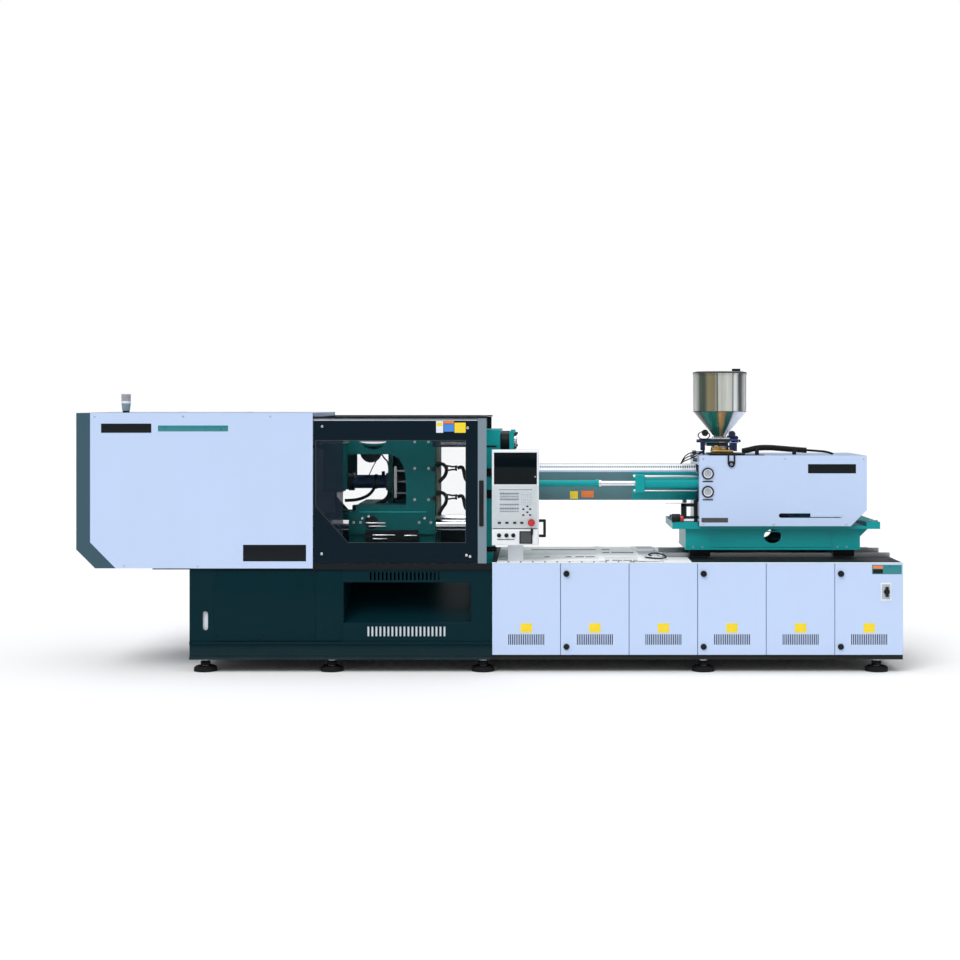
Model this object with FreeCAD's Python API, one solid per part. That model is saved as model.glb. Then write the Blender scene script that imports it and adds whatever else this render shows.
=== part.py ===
import FreeCAD, Part
import math
import os

# Horizontal injection moulding machine, toggle clamp on the left, injection unit on the right.
# Millimetres. +X runs from the clamp to the injection end, -Y is the operator's side, +Z is up.
# The origin is on the floor, under the middle of the machine.

V = FreeCAD.Vector

# ---- driving dimensions -------------------------------------------------------------------
HALF_LENGTH = 3505.0          # half of the overall length
SKIN_Y = 800.0                # outer face of the covers and doors, front and rear
INNER_Y = 776.0               # outside of the frames behind the doors
CENTRE_Z = 1585.0             # height of the clamp and screw centreline
BED_FLOOR_Z = 110.0           # underside of both frames, on top of the levelling feet
BASE_TOP_Z = 875.0            # top of the clamp base
BED_TOP_Z = 930.0             # top of the injection bed
BASE_X = (-2550.0, 16.0)
BED_X = (18.0, 3505.0)
SHEET = 4.0                   # thickness of sheet covers

# clamp
TIE_PITCH = 730.0             # tie bar centres, both ways
TIE_R = 50.0
PLATEN_HALF = 467.0
FIXED_X = (-120.0, 80.0, 190.0)       # mould face, back of the plate, back of the hub
NUT_LENGTH = 80.0
KEEPER_X = (160.0, 200.0)        # plates that lock the tie bar nuts
KEEPER_HALF = 92.0
TIE_END_X = 215.0
MOVING_FACE_X = -482.0
MOVING_BACK_X = -1232.0
MOVING_PLATE_X = -735.0
REAR_PLATEN_DEPTH = 220.0
BORE_RING_R = 80.0            # locating bore for the mould ring
TAPPED_R = 8.75               # tapping size of the mould bolts
TAPPED_DEPTH = 45.0

# toggle, worked out from its link lengths and closed angle
REAR_LINK = 340.0
FRONT_LINK = 430.0
REAR_PIVOT_Z = 400.0          # above the centreline
FRONT_PIVOT_Z = 330.0
CLOSED_DEG = 2.0
FRONT_PIVOT_X = -1384.0
EYE_R = 52.0
ELBOW_R = 28.0
PIVOT_R = 32.0
RUN = 0.06                    # radial clearance of a running pin

ELBOW_DX = REAR_LINK * math.cos(math.radians(CLOSED_DEG))
ELBOW_Z = REAR_PIVOT_Z - REAR_LINK * math.sin(math.radians(CLOSED_DEG))
FRONT_DX = math.sqrt(FRONT_LINK ** 2 - (ELBOW_Z - FRONT_PIVOT_Z) ** 2)
REAR_PIVOT_X = FRONT_PIVOT_X - FRONT_DX - ELBOW_DX
ELBOW_X = REAR_PIVOT_X + ELBOW_DX
REAR_FACE_X = REAR_PIVOT_X - 170.0
REAR_BACK_X = REAR_FACE_X - REAR_PLATEN_DEPTH

LUG_R = 240.0                 # crosshead lug on the rear link: radius and angle from the link
LUG_DEG = 15.0
CROSS_LINK = 300.0
CROSS_PIN_Z = 100.0
lug_angle = math.radians(CLOSED_DEG + LUG_DEG)
LUG_X = REAR_PIVOT_X + LUG_R * math.cos(lug_angle)
LUG_Z = REAR_PIVOT_Z - LUG_R * math.sin(lug_angle)
CROSS_X = LUG_X + math.sqrt(CROSS_LINK ** 2 - (LUG_Z - CROSS_PIN_Z) ** 2)
CYL_R = 120.0
CYL_BORE_R = 90.0
CYL_LENGTH = 640.0
ROD_R = 45.0

# sliding gates
GATE_X = (-1496.0, -29.0)
GATE_Z = (926.0, 2158.0)
GATE_Y = (757.0, 780.0)       # steel frame; the smoked sheet lies on its outside
SCREEN_T = 5.0
WINDOW_X = (-1480.0, -200.0)
RAIL_Z = (2160.0, 2172.0)
BEAM_X = (-110.0, -60.0)
WINDOW_Z = (1100.0, 1972.0)

# injection unit
CARRIAGE_X = (1577.0, 3386.0)
COVER_X = (1808.0, 3261.0)
COVER_Z = (1218.0, 1830.0)
COVER_Y = 450.0
HOPPER_X = 2030.0
HOPPER_R = 235.0
LID_TOP_Z = 2592.0
BARREL_R = 62.0
SCREW_R = 28.0
RAM_Y = 300.0                 # carriage cylinders, each side of the barrel
RAM_Z = 1582.0
PULL_ROD_R = 22.0

# cabinet doors
DOORS = 6
DOOR_PITCH = (BED_X[1] - BED_X[0]) / DOORS
DOOR_Z = (153.0, 927.0)
DOOR_T = 22.0
DOOR_EDGE_R = 6.0                # round edges; the hinge axis is this round's centre
VENTS = 20
VENT_W = 8.0
VENT_H = 89.0
VENT_PITCH = 15.6


# ---- helpers --------------------------------------------------------------------------------
def box(x, y, z):
    """Block from low and high values on each axis."""
    return Part.makeBox(x[1] - x[0], y[1] - y[0], z[1] - z[0], V(x[0], y[0], z[0]))


def rod(axis, start, radius, length):
    """Cylinder from start along +axis."""
    direction = {"x": V(1, 0, 0), "y": V(0, 1, 0), "z": V(0, 0, 1)}[axis]
    return Part.makeCylinder(radius, length, V(*start), direction)


def cone(axis, start, r1, r2, length):
    direction = {"x": V(1, 0, 0), "y": V(0, 1, 0), "z": V(0, 0, 1)}[axis]
    return Part.makeCone(r1, r2, length, V(*start), direction)


def fuse(shapes):
    first = shapes[0]
    if len(shapes) == 1:
        return first
    return first.multiFuse(shapes[1:]).removeSplitter()


def cut(body, tools):
    return body.cut(Part.makeCompound(tools))


def mirror_y(shape):
    return shape.mirror(V(0, 0, 0), V(0, 1, 0))


def both_sides(shape):
    """The shape and its mirror image across the machine's centre plane."""
    return [shape, mirror_y(shape)]


def mirror_z(shape):
    return shape.mirror(V(0, 0, CENTRE_Z), V(0, 0, 1))


def four_ways(shape):
    pair = [shape, mirror_z(shape)]
    return pair + [mirror_y(s) for s in pair]


def prism_y(points, y0, y1):
    """Outline in X and Z, extruded from y0 to y1."""
    outline = [V(x, y0, z) for x, z in points]
    face = Part.Face(Part.makePolygon(outline + outline[:1]))
    return face.extrude(V(0, y1 - y0, 0))


def prism_x(points, x0, x1):
    """Outline in Y and Z, extruded from x0 to x1."""
    outline = [V(x0, y, z) for y, z in points]
    face = Part.Face(Part.makePolygon(outline + outline[:1]))
    return face.extrude(V(x1 - x0, 0, 0))


def save(name, shapes):
    if not isinstance(shapes, list):
        shapes = [shapes]
    solids = [s for shape in shapes for s in shape.Solids]
    result = solids[0] if len(solids) == 1 else Part.makeCompound(solids)
    if not result.isValid():
        print("not valid:", name)
    result.exportStep("parts/" + name + ".step")
    print(name, len(solids), "solids", round(sum(s.Volume for s in solids) / 1e6, 1), "dm3")


# ---- clamp base -------------------------------------------------------------------------------
def clamp_base():
    wall = 20.0
    x0, x1 = BASE_X
    chute_x = (-1243.0, -158.0)
    chute_z = (422.0, 765.0)
    outer = box((x0, x1), (-INNER_Y, INNER_Y), (BED_FLOOR_Z, BASE_TOP_Z))
    inner = box((x0 + wall, x1 - wall), (-INNER_Y + wall, INNER_Y - wall),
                (BED_FLOOR_Z + wall, BASE_TOP_Z - 30.0))
    cuts = [inner]
    cuts.append(box(chute_x, (-INNER_Y - 1, -INNER_Y + wall + 1), chute_z))
    cuts.append(box((-1150.0, -200.0), (-290.0, 290.0), (BASE_TOP_Z - 31, BASE_TOP_Z + 1)))
    slot_x, slot_w = -2416.0, 46.0
    slot = fuse([box((slot_x - slot_w / 2, slot_x + slot_w / 2), (-SKIN_Y, SKIN_Y), (379.0, 496.0)),
                 rod("y", (slot_x, -SKIN_Y, 379.0), slot_w / 2, 2 * SKIN_Y),
                 rod("y", (slot_x, -SKIN_Y, 496.0), slot_w / 2, 2 * SKIN_Y)])
    cuts.append(slot)
    for i in range(18):
        x = -1020.0 + i * 34.0
        cuts.append(box((x, x + 16.0), (-INNER_Y - 1, -INNER_Y + wall + 1), (782.0, 852.0)))
    for i in range(20):
        x = -1040.0 + i * 34.0
        cuts.append(box((x, x + 16.0), (-INNER_Y - 1, -INNER_Y + wall + 1), (306.0, 390.0)))
    shell = cut(outer, cuts)
    ledge = box((x0, x1), (-SKIN_Y + 6, -INNER_Y), (243.0, 260.0))
    foot_rail = box((x0, x1), (-SKIN_Y + 6, -INNER_Y), (BED_FLOOR_Z, 135.0))
    parts = [shell] + both_sides(ledge) + both_sides(foot_rail)
    slope = prism_x([(-INNER_Y + wall - 5.0, chute_z[0] - 6.0), (306.0, BASE_TOP_Z - 24.0),
                     (306.0, BASE_TOP_Z - 40.0), (-INNER_Y + wall - 5.0, chute_z[0] - 22.0)],
                    chute_x[0] - 8.0, chute_x[1])
    parts.append(slope)
    for x in chute_x:
        parts.append(box((x - 8, x), (-INNER_Y + wall - 5.0, 320.0), (BED_FLOOR_Z + wall - 5.0, BASE_TOP_Z - 25)))
    save("clamp_base", fuse(parts))


def slideways():
    strip = box((-2545.0, -140.0), (330.0, 450.0), (BASE_TOP_Z, BASE_TOP_Z + 30.0))
    save("slideways", both_sides(strip))


def levelling_feet():
    pad_h = 46.0
    feet = []
    for x in (-2431.0, -1351.0, -60.0, 1819.0, 3298.0):
        for y in (-680.0, 680.0):
            pad = rod("z", (x, y, 0), 98.0, pad_h - 14.0)
            rim = cone("z", (x, y, pad_h - 14.0), 98.0, 80.0, 14.0)
            stud = rod("z", (x, y, pad_h), 20.0, BED_FLOOR_Z - pad_h)
            nut = rod("z", (x, y, pad_h + 8.0), 42.0, 30.0)
            feet.append(fuse([pad, rim, stud, nut]))
    save("levelling_feet", feet)


# ---- platens and tie bars ---------------------------------------------------------------------
def tapped_rectangles(face_x, depth):
    """Mould-fixing holes: two rectangles of four, drilled inwards from a platen's face."""
    start = min(face_x, face_x + depth)
    holes = []
    for half_y, half_z in ((210.0, 210.0), (140.0, 280.0)):
        for y in (-half_y, half_y):
            for z in (-half_z, half_z):
                holes.append(rod("x", (start, y, CENTRE_Z + z), TAPPED_R, abs(depth)))
    return holes


def tie_holes(x0, x1, radius):
    half = TIE_PITCH / 2
    return [rod("x", (x0, y, CENTRE_Z + z), radius, x1 - x0) for y in (-half, half) for z in (-half, half)]


def fixed_platen():
    face, plate_back, boss_back = FIXED_X
    plate = box((face, plate_back), (-PLATEN_HALF, PLATEN_HALF), (CENTRE_Z - PLATEN_HALF, CENTRE_Z + PLATEN_HALF))
    parts = [plate]
    parts.append(rod("x", (plate_back, 0, CENTRE_Z), 235.0, boss_back - plate_back))
    for z in (-190.0, 0.0, 190.0):
        parts.append(box((plate_back, boss_back - 15.0), (-PLATEN_HALF, PLATEN_HALF),
                         (CENTRE_Z + z - 17.0, CENTRE_Z + z + 17.0)))
    foot = box((face, boss_back), (250.0, PLATEN_HALF), (BASE_TOP_Z, CENTRE_Z - PLATEN_HALF))
    foot = foot.common(box((face, BASE_X[1]), (0, SKIN_Y), (0, CENTRE_Z)))
    parts += both_sides(foot)
    ram_pad = rod("x", (plate_back, RAM_Y, RAM_Z), 48.0, boss_back - plate_back)
    parts += both_sides(ram_pad)
    body = fuse(parts)
    cuts = [rod("x", (face, 0, CENTRE_Z), BORE_RING_R, 25.0)]
    cuts.append(rod("x", (face, 0, CENTRE_Z), 50.0, 85.0))
    cuts.append(rod("x", (face + 80.0, 0, CENTRE_Z), 75.0, 300.0))
    cuts += tie_holes(face - 1, boss_back + 1, TIE_R)
    cuts += tapped_rectangles(face, TAPPED_DEPTH)
    keeper = box(KEEPER_X, (TIE_PITCH / 2 - KEEPER_HALF, TIE_PITCH / 2 + KEEPER_HALF),
                 (CENTRE_Z + TIE_PITCH / 2 - KEEPER_HALF, CENTRE_Z + TIE_PITCH / 2 + KEEPER_HALF))
    keepers = [cut(k, tie_holes(KEEPER_X[0] - 1, KEEPER_X[1] + 1, TIE_R)) for k in four_ways(keeper)]
    save("fixed_platen", [cut(body, cuts)] + keepers)


def ear_pair(x_root, x_pin, z_pin, half_h, bands, reach, radius):
    """Clevis ears in the given Y bands, from a wall at x_root out past a pin."""
    ears = []
    for y0, y1 in bands:
        block = box((min(x_root, x_pin), max(x_root, x_pin)), (y0, y1),
                    (CENTRE_Z + z_pin - half_h, CENTRE_Z + z_pin + half_h))
        tip = rod("y", (x_pin, y0, CENTRE_Z + z_pin), reach, y1 - y0)
        ear = cut(fuse([block, tip]), [rod("y", (x_pin, y0 - 1, CENTRE_Z + z_pin), radius, y1 - y0 + 2)])
        ears.append(ear)
    return ears


def moving_platen():
    plate = box((MOVING_PLATE_X, MOVING_FACE_X), (-PLATEN_HALF, PLATEN_HALF), (CENTRE_Z - 435.0, CENTRE_Z + 435.0))
    top = (CENTRE_Z + 257.0, CENTRE_Z + 435.0)
    low = (CENTRE_Z - 435.0, CENTRE_Z - 240.0)
    span_x = (MOVING_BACK_X, MOVING_PLATE_X)
    parts = [plate]
    parts.append(box(span_x, (-PLATEN_HALF, PLATEN_HALF), top))
    parts.append(box(span_x, (-PLATEN_HALF, PLATEN_HALF), low))
    parts.append(box((-918.0, -879.0), (-140.0, 140.0), (low[1] - 1, top[0] + 1)))
    step = box((-1171.0, MOVING_PLATE_X), (-PLATEN_HALF, PLATEN_HALF), (low[1] - 1, low[1] + 55.0))
    parts.append(step)
    gusset = prism_y([(MOVING_PLATE_X, top[0]), (MOVING_PLATE_X - 130.0, top[0]), (MOVING_PLATE_X - 60.0, top[0] - 40),
                      (MOVING_PLATE_X - 15.0, top[0] - 130.0), (MOVING_PLATE_X, top[0] - 260.0)],
                     -PLATEN_HALF, -PLATEN_HALF + 120.0)
    parts += both_sides(gusset)
    side_plate = prism_y([(-1457.0, CENTRE_Z + 343.0), (MOVING_BACK_X + 7.0, CENTRE_Z + 343.0),
                          (MOVING_BACK_X + 7.0, CENTRE_Z + 258.0), (-1252.0, CENTRE_Z + 258.0),
                          (-1252.0, CENTRE_Z - 32.0), (-1264.0, CENTRE_Z - 60.0), (-1292.0, CENTRE_Z - 72.0),
                          (-1457.0, CENTRE_Z - 72.0)], 420.0, 435.0)
    parts += both_sides(side_plate)
    body = fuse(parts)
    bands = ((173.0, 197.0), (273.0, 300.0))
    ears = []
    for ear in ear_pair(MOVING_BACK_X + 2.0, FRONT_PIVOT_X, FRONT_PIVOT_Z, 62.0, bands, 62.0, 30.0):
        ears += four_ways(ear)
    body = fuse([body] + ears)
    pocket = box((MOVING_BACK_X - 1, -1090.0), (197.0, 273.0), (CENTRE_Z + 120.0, CENTRE_Z + 436.0))
    cuts = four_ways(pocket)
    cuts.append(rod("y", (-1027.0, -SKIN_Y, CENTRE_Z + 435.0), 138.0, 2 * SKIN_Y))
    cuts += tie_holes(MOVING_BACK_X - 1, MOVING_FACE_X + 1, TIE_R + 0.3)
    cuts += tapped_rectangles(MOVING_FACE_X, -TAPPED_DEPTH)
    cuts.append(rod("x", (-950.0, 0, CENTRE_Z), 26.0, 200.0))
    for y, z in EJECTOR_PINS:
        cuts.append(rod("x", (MOVING_PLATE_X - 1, y, CENTRE_Z + z), 15.0, 300.0))
    save("moving_platen", cut(body, cuts))


EJECTOR_PINS = ((0.0, 0.0), (-70.0, 100.0), (70.0, 100.0), (-70.0, -100.0), (70.0, -100.0))


def platen_shoes():
    low = CENTRE_Z - 435.0
    top = BASE_TOP_Z + 30.3
    shoe = prism_y([(-1232.0, low), (-1232.0, top), (-490.0, top), (-490.0, low), (-621.0, low),
                    (-700.0, low - 90.0), (-1020.0, low - 90.0), (-1100.0, low)], 340.0, 440.0)
    save("platen_shoes", both_sides(shoe))


def ejector():
    cyl = rod("x", (-1292.0, 0, CENTRE_Z), 60.0, 374.0)
    flange = box((-945.0, -918.0), (-75.0, 75.0), (CENTRE_Z - 75.0, CENTRE_Z + 75.0))
    cap = box((-1305.0, -1278.0), (-68.0, 68.0), (CENTRE_Z - 68.0, CENTRE_Z + 68.0))
    hollow = rod("x", (-1265.0, 0, CENTRE_Z), 26.0, 400.0)
    save("ejector_cylinder", cut(fuse([cyl, flange, cap]), [hollow]))
    plate = box((-870.0, -845.0), (-110.0, 110.0), (CENTRE_Z - 140.0, CENTRE_Z + 140.0))
    shaft = rod("x", (-1200.0, 0, CENTRE_Z), 25.0, 340.0)
    pins = [rod("x", (-850.0, y, CENTRE_Z + z), 14.0, 364.0) for y, z in EJECTOR_PINS]
    save("ejector", fuse([plate, shaft] + pins))


def rear_platen():
    x0, x1 = REAR_BACK_X, REAR_FACE_X
    body = box((x0, x1), (-PLATEN_HALF, PLATEN_HALF), (CENTRE_Z - PLATEN_HALF, CENTRE_Z + PLATEN_HALF))
    foot = box((x0, x1), (330.0, 450.0), (BASE_TOP_Z + 30.0, CENTRE_Z - PLATEN_HALF))
    bands = ((98.0, 124.5), (195.5, 222.0))
    ears = []
    for ear in ear_pair(x1 - 2.0, REAR_PIVOT_X, REAR_PIVOT_Z, 62.0, bands, 60.0, PIVOT_R + 0.05):
        ears += four_ways(ear)
    body = fuse([body] + both_sides(foot) + ears)
    cuts = [rod("x", (x0 - 1, 0, CENTRE_Z), ROD_R + 8.0, REAR_PLATEN_DEPTH + 2)]
    cuts += tie_holes(x0 - 1, x1 + 1, TIE_R)
    save("rear_platen", cut(body, cuts))
    pins = rod("y", (REAR_PIVOT_X, 98.0, CENTRE_Z + REAR_PIVOT_Z), PIVOT_R, 124.0)
    save("rear_pivot_pins", four_ways(pins))


def tie_bars():
    half = TIE_PITCH / 2
    bars = []
    nuts = []
    for y in (-half, half):
        for z in (-half, half):
            bars.append(rod("x", (REAR_BACK_X - 160.0, y, CENTRE_Z + z), TIE_R, TIE_END_X - REAR_BACK_X + 160.0))
            for x, length, radius in ((FIXED_X[1], NUT_LENGTH, 82.0), (REAR_BACK_X - 90.0, 90.0, 92.0)):
                nut = rod("x", (x, y, CENTRE_Z + z), radius, length)
                nuts.append(cut(nut, [rod("x", (x - 1, y, CENTRE_Z + z), TIE_R, length + 2)]))
    save("tie_bars", bars)
    save("tie_bar_nuts", nuts)


# ---- toggle -----------------------------------------------------------------------------------
def link_plate(start, end, y0, y1, radius, holes):
    """Flat link with round ends between two points in X and Z."""
    (xa, za), (xb, zb) = start, end
    dx, dz = xb - xa, zb - za
    length = math.hypot(dx, dz)
    nx, nz = -dz / length * radius * 0.86, dx / length * radius * 0.86
    bar = prism_y([(xa + nx, za + nz), (xb + nx, zb + nz), (xb - nx, zb - nz), (xa - nx, za - nz)], y0, y1)
    ends = [rod("y", (x, y0, z), radius, y1 - y0) for x, z in (start, end)]
    drills = [rod("y", (x, y0 - 1, z), r, y1 - y0 + 2) for x, z, r in holes]
    return cut(fuse([bar] + ends), drills)


def toggle():
    pivot = (REAR_PIVOT_X, CENTRE_Z + REAR_PIVOT_Z)
    elbow = (ELBOW_X, CENTRE_Z + ELBOW_Z)
    front = (FRONT_PIVOT_X, CENTRE_Z + FRONT_PIVOT_Z)
    lug = (LUG_X, CENTRE_Z + LUG_Z)
    cross = (CROSS_X, CENTRE_Z + CROSS_PIN_Z)
    lug_hole = (lug[0], lug[1], 20.0)
    arm = link_plate(pivot, elbow, 125.0, 195.0, EYE_R, [])
    horn = link_plate(pivot, lug, 125.0, 195.0, 40.0, [])
    holes = [rod("y", (x, 124.0, z), r, 72.0) for x, z, r in
             ((pivot[0], pivot[1], PIVOT_R + RUN), (elbow[0], elbow[1], ELBOW_R + 0.02), lug_hole)]
    rear_link = cut(fuse([arm, horn]), holes)
    front_link = link_plate(elbow, front, 200.0, 270.0, EYE_R,
                            [(elbow[0], elbow[1], ELBOW_R + RUN), (front[0], front[1], 30.0)])
    elbow_pin = rod("y", (elbow[0], 125.0, elbow[1]), ELBOW_R, 145.0)
    cross_link = link_plate(lug, cross, 62.0, 117.0, 40.0,
                            [(lug[0], lug[1], 20.0), (cross[0], cross[1], 26.0 + RUN)])
    for name, shape in (("rear_links", rear_link), ("front_links", front_link),
                        ("elbow_pins", elbow_pin), ("crosshead_links", cross_link)):
        save("upper_" + name, both_sides(shape))
        save("lower_" + name, both_sides(mirror_z(shape)))


def crosshead():
    block = box((CROSS_X - 55.0, CROSS_X + 55.0), (-58.0, 58.0), (CENTRE_Z - 145.0, CENTRE_Z + 145.0))
    pins = [rod("y", (CROSS_X, -120.0, CENTRE_Z + z), 26.0, 240.0) for z in (-CROSS_PIN_Z, CROSS_PIN_Z)]
    save("crosshead", fuse([block] + pins))
    piston_x = REAR_BACK_X - 130.0
    shaft = rod("x", (piston_x, 0, CENTRE_Z), ROD_R, CROSS_X - 55.0 - piston_x)
    piston = rod("x", (piston_x, 0, CENTRE_Z), CYL_BORE_R - 0.4, 60.0)
    save("clamp_piston", fuse([shaft, piston]))
    tube = rod("x", (REAR_BACK_X - CYL_LENGTH, 0, CENTRE_Z), CYL_R, CYL_LENGTH)
    flange = box((REAR_BACK_X - 40.0, REAR_BACK_X), (-160.0, 160.0), (CENTRE_Z - 160.0, CENTRE_Z + 160.0))
    cap = box((REAR_BACK_X - CYL_LENGTH - 40.0, REAR_BACK_X - CYL_LENGTH + 10.0), (-140.0, 140.0),
              (CENTRE_Z - 140.0, CENTRE_Z + 140.0))
    bore = rod("x", (REAR_BACK_X - CYL_LENGTH + 20.0, 0, CENTRE_Z), CYL_BORE_R, CYL_LENGTH - 80.0)
    gland = rod("x", (REAR_BACK_X - 100.0, 0, CENTRE_Z), ROD_R + RUN, 120.0)
    save("clamp_cylinder", cut(fuse([tube, flange, cap]), [bore, gland]))


# ---- clamp covers -----------------------------------------------------------------------------
ROOF_Z = 2202.0
COVER_LEFT_X = -3387.0
COVER_RIGHT_X = -1501.0
COVER_LOW_Z = 885.0
CHAMFER = ((-3387.0, 1105.0), (-3170.0, 885.0))


def clamp_covers():
    low = ((COVER_LEFT_X, ROOF_Z), CHAMFER[0], CHAMFER[1], (COVER_RIGHT_X, COVER_LOW_Z), (COVER_RIGHT_X, ROOF_Z))
    front = prism_y(low, -SKIN_Y, -SKIN_Y + SHEET)
    roof = box((COVER_LEFT_X, COVER_RIGHT_X), (-SKIN_Y, 0), (ROOF_Z - SHEET, ROOF_Z))
    lip = box((COVER_RIGHT_X - 30.0, COVER_RIGHT_X), (-730.0, 0), (ROOF_Z - 34.0, ROOF_Z))
    half = fuse([front, roof, lip])
    save("clamp_front_cover", half)
    save("clamp_rear_cover", mirror_y(half))
    outer = [(-HALF_LENGTH, ROOF_Z), (-HALF_LENGTH, 1045.0), (-3345.0, COVER_LOW_Z), CHAMFER[1], CHAMFER[0],
             (COVER_LEFT_X, ROOF_Z)]
    side = prism_y(outer, -SKIN_Y, -SKIN_Y + SHEET)
    end = box((-HALF_LENGTH, -HALF_LENGTH + SHEET), (-SKIN_Y, SKIN_Y), (1045.0, ROOF_Z))
    slant = prism_y([(-HALF_LENGTH, 1045.0), (-3345.0, COVER_LOW_Z), (-3345.0, COVER_LOW_Z + 6.0),
                     (-HALF_LENGTH, 1051.0)], -SKIN_Y, SKIN_Y)
    floor = box((-3345.0, -2866.0), (-SKIN_Y + SHEET, SKIN_Y - SHEET), (COVER_LOW_Z, COVER_LOW_Z + SHEET))
    top = box((-HALF_LENGTH, COVER_LEFT_X), (-SKIN_Y, SKIN_Y), (ROOF_Z - SHEET, ROOF_Z))
    save("clamp_end_cover", fuse([side, mirror_y(side), end, slant, floor, top]))


# ---- gates ------------------------------------------------------------------------------------
def gate_frame():
    """Top rails joined by a beam that stands on the fixed platen, and the two low rails."""
    platen_top = CENTRE_Z + PLATEN_HALF
    top_rail = box((-2860.0, -20.0), (738.0, 796.0), RAIL_Z)
    beam = box(BEAM_X, (-740.0, 740.0), RAIL_Z)
    foot = box(BEAM_X, (380.0, 440.0), (platen_top, RAIL_Z[0] + 1))
    low_rail = box((-2860.0, BASE_X[1]), (745.0, 794.0), (BASE_TOP_Z, 924.0))
    save("gate_frame", [fuse([beam] + both_sides(top_rail) + both_sides(foot))] + both_sides(low_rail))


def window_outline():
    return [(WINDOW_X[0], WINDOW_Z[1]), (WINDOW_X[0], 1410.0), (-1205.0, WINDOW_Z[0]), (WINDOW_X[1], WINDOW_Z[0]),
            (WINDOW_X[1], WINDOW_Z[1])]


def gates():
    y0, y1 = -GATE_Y[1], -GATE_Y[0]
    panel = box(GATE_X, (y0, y1), GATE_Z)
    strip = box((-102.0, GATE_X[1]), (-GATE_Y[1] - SCREEN_T - 6.0, y0), GATE_Z)
    hole = prism_y(window_outline(), y0 - 1, y1 + 1)
    grip = box((-92.0, -52.0), (-SKIN_Y, -GATE_Y[1] + 2.0), (1240.0, 1630.0))
    save("front_gate", cut(fuse([panel, strip]), [hole, grip]))
    sheet = box((GATE_X[0], -102.0), (-GATE_Y[1] - SCREEN_T, y0), GATE_Z)
    save("front_gate_window", sheet)
    rear_panel = box(GATE_X, GATE_Y, GATE_Z)
    rear_hole = prism_y(window_outline(), GATE_Y[0] - 1, GATE_Y[1] + 1)
    bar = box((-170.0, -140.0), (825.0, 840.0), (1300.0, 1600.0))
    stubs = [box((-170.0, -140.0), (GATE_Y[1], 826.0), (z, z + 30.0)) for z in (1300.0, 1570.0)]
    save("rear_gate", fuse([cut(rear_panel, [rear_hole]), bar] + stubs))


# ---- injection bed ----------------------------------------------------------------------------
def door_edges(i):
    x0 = BED_X[0] + i * DOOR_PITCH
    return x0 + 2.0, x0 + DOOR_PITCH - 2.0


def vent_cuts(x_centre, y0, y1):
    first = x_centre - (VENTS - 1) * VENT_PITCH / 2
    cuts = []
    for i in range(VENTS):
        x = first + i * VENT_PITCH
        cuts.append(box((x - VENT_W / 2, x + VENT_W / 2), (y0, y1), (238.0, 238.0 + VENT_H)))
    return cuts


def injection_bed():
    x0, x1 = BED_X
    parts = [box((x0, x1), (-INNER_Y, INNER_Y), (BED_TOP_Z - 14.0, BED_TOP_Z))]
    parts.append(box((x0, x1), (-INNER_Y, INNER_Y), (BED_FLOOR_Z, BED_FLOOR_Z + 12.0)))
    rail = box((x0, x1), (-INNER_Y, -INNER_Y + 50.0), (BED_FLOOR_Z, BED_FLOOR_Z + 40.0))
    parts += both_sides(rail)
    for i in range(DOORS + 1):
        x = min(max(x0 + i * DOOR_PITCH - 25.0, x0), x1 - 50.0)
        post = box((x, x + 50.0), (-INNER_Y, -INNER_Y + 50.0), (BED_FLOOR_Z, BED_TOP_Z))
        parts += both_sides(post)
    parts.append(box((x1 - 6.0, x1), (-INNER_Y, INNER_Y), (BED_FLOOR_Z, BED_TOP_Z)))
    tank = box((1300.0, 2300.0), (-450.0, 500.0), (BED_FLOOR_Z + 12.0, 640.0))
    tank_room = box((1308.0, 2292.0), (-442.0, 492.0), (BED_FLOOR_Z + 20.0, 632.0))
    parts.append(cut(tank, [tank_room]))
    save("injection_bed", fuse(parts))


def bed_covers():
    slats = []
    for i in range(11):
        x = 60.0 + i * 104.0
        slats.append(box((x, x + 88.0), (-740.0, 740.0), (BED_TOP_Z, BED_TOP_Z + 8.0)))
    slats.append(box((1235.0, 1478.0), (-740.0, 740.0), (BED_TOP_Z, BED_TOP_Z + 5.0)))
    save("bed_covers", slats)


def back_panels():
    panels = []
    for i in range(DOORS):
        x0, x1 = door_edges(i)
        panel = box((x0, x1), (INNER_Y, SKIN_Y - 6.0), DOOR_Z)
        panels.append(cut(panel, vent_cuts((x0 + x1) / 2, INNER_Y - 1, SKIN_Y)))
    save("back_panels", panels)


def pump_motor():
    motor = rod("x", (2450.0, 60.0, 420.0), 165.0, 470.0)
    pump = rod("x", (2370.0, 60.0, 420.0), 90.0, 90.0)
    cap = rod("x", (2920.0, 60.0, 420.0), 150.0, 60.0)
    foot = box((2480.0, 2880.0), (-90.0, 210.0), (BED_FLOOR_Z + 12.0, 320.0))
    save("pump_motor", fuse([motor, pump, cap, foot]))


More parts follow.
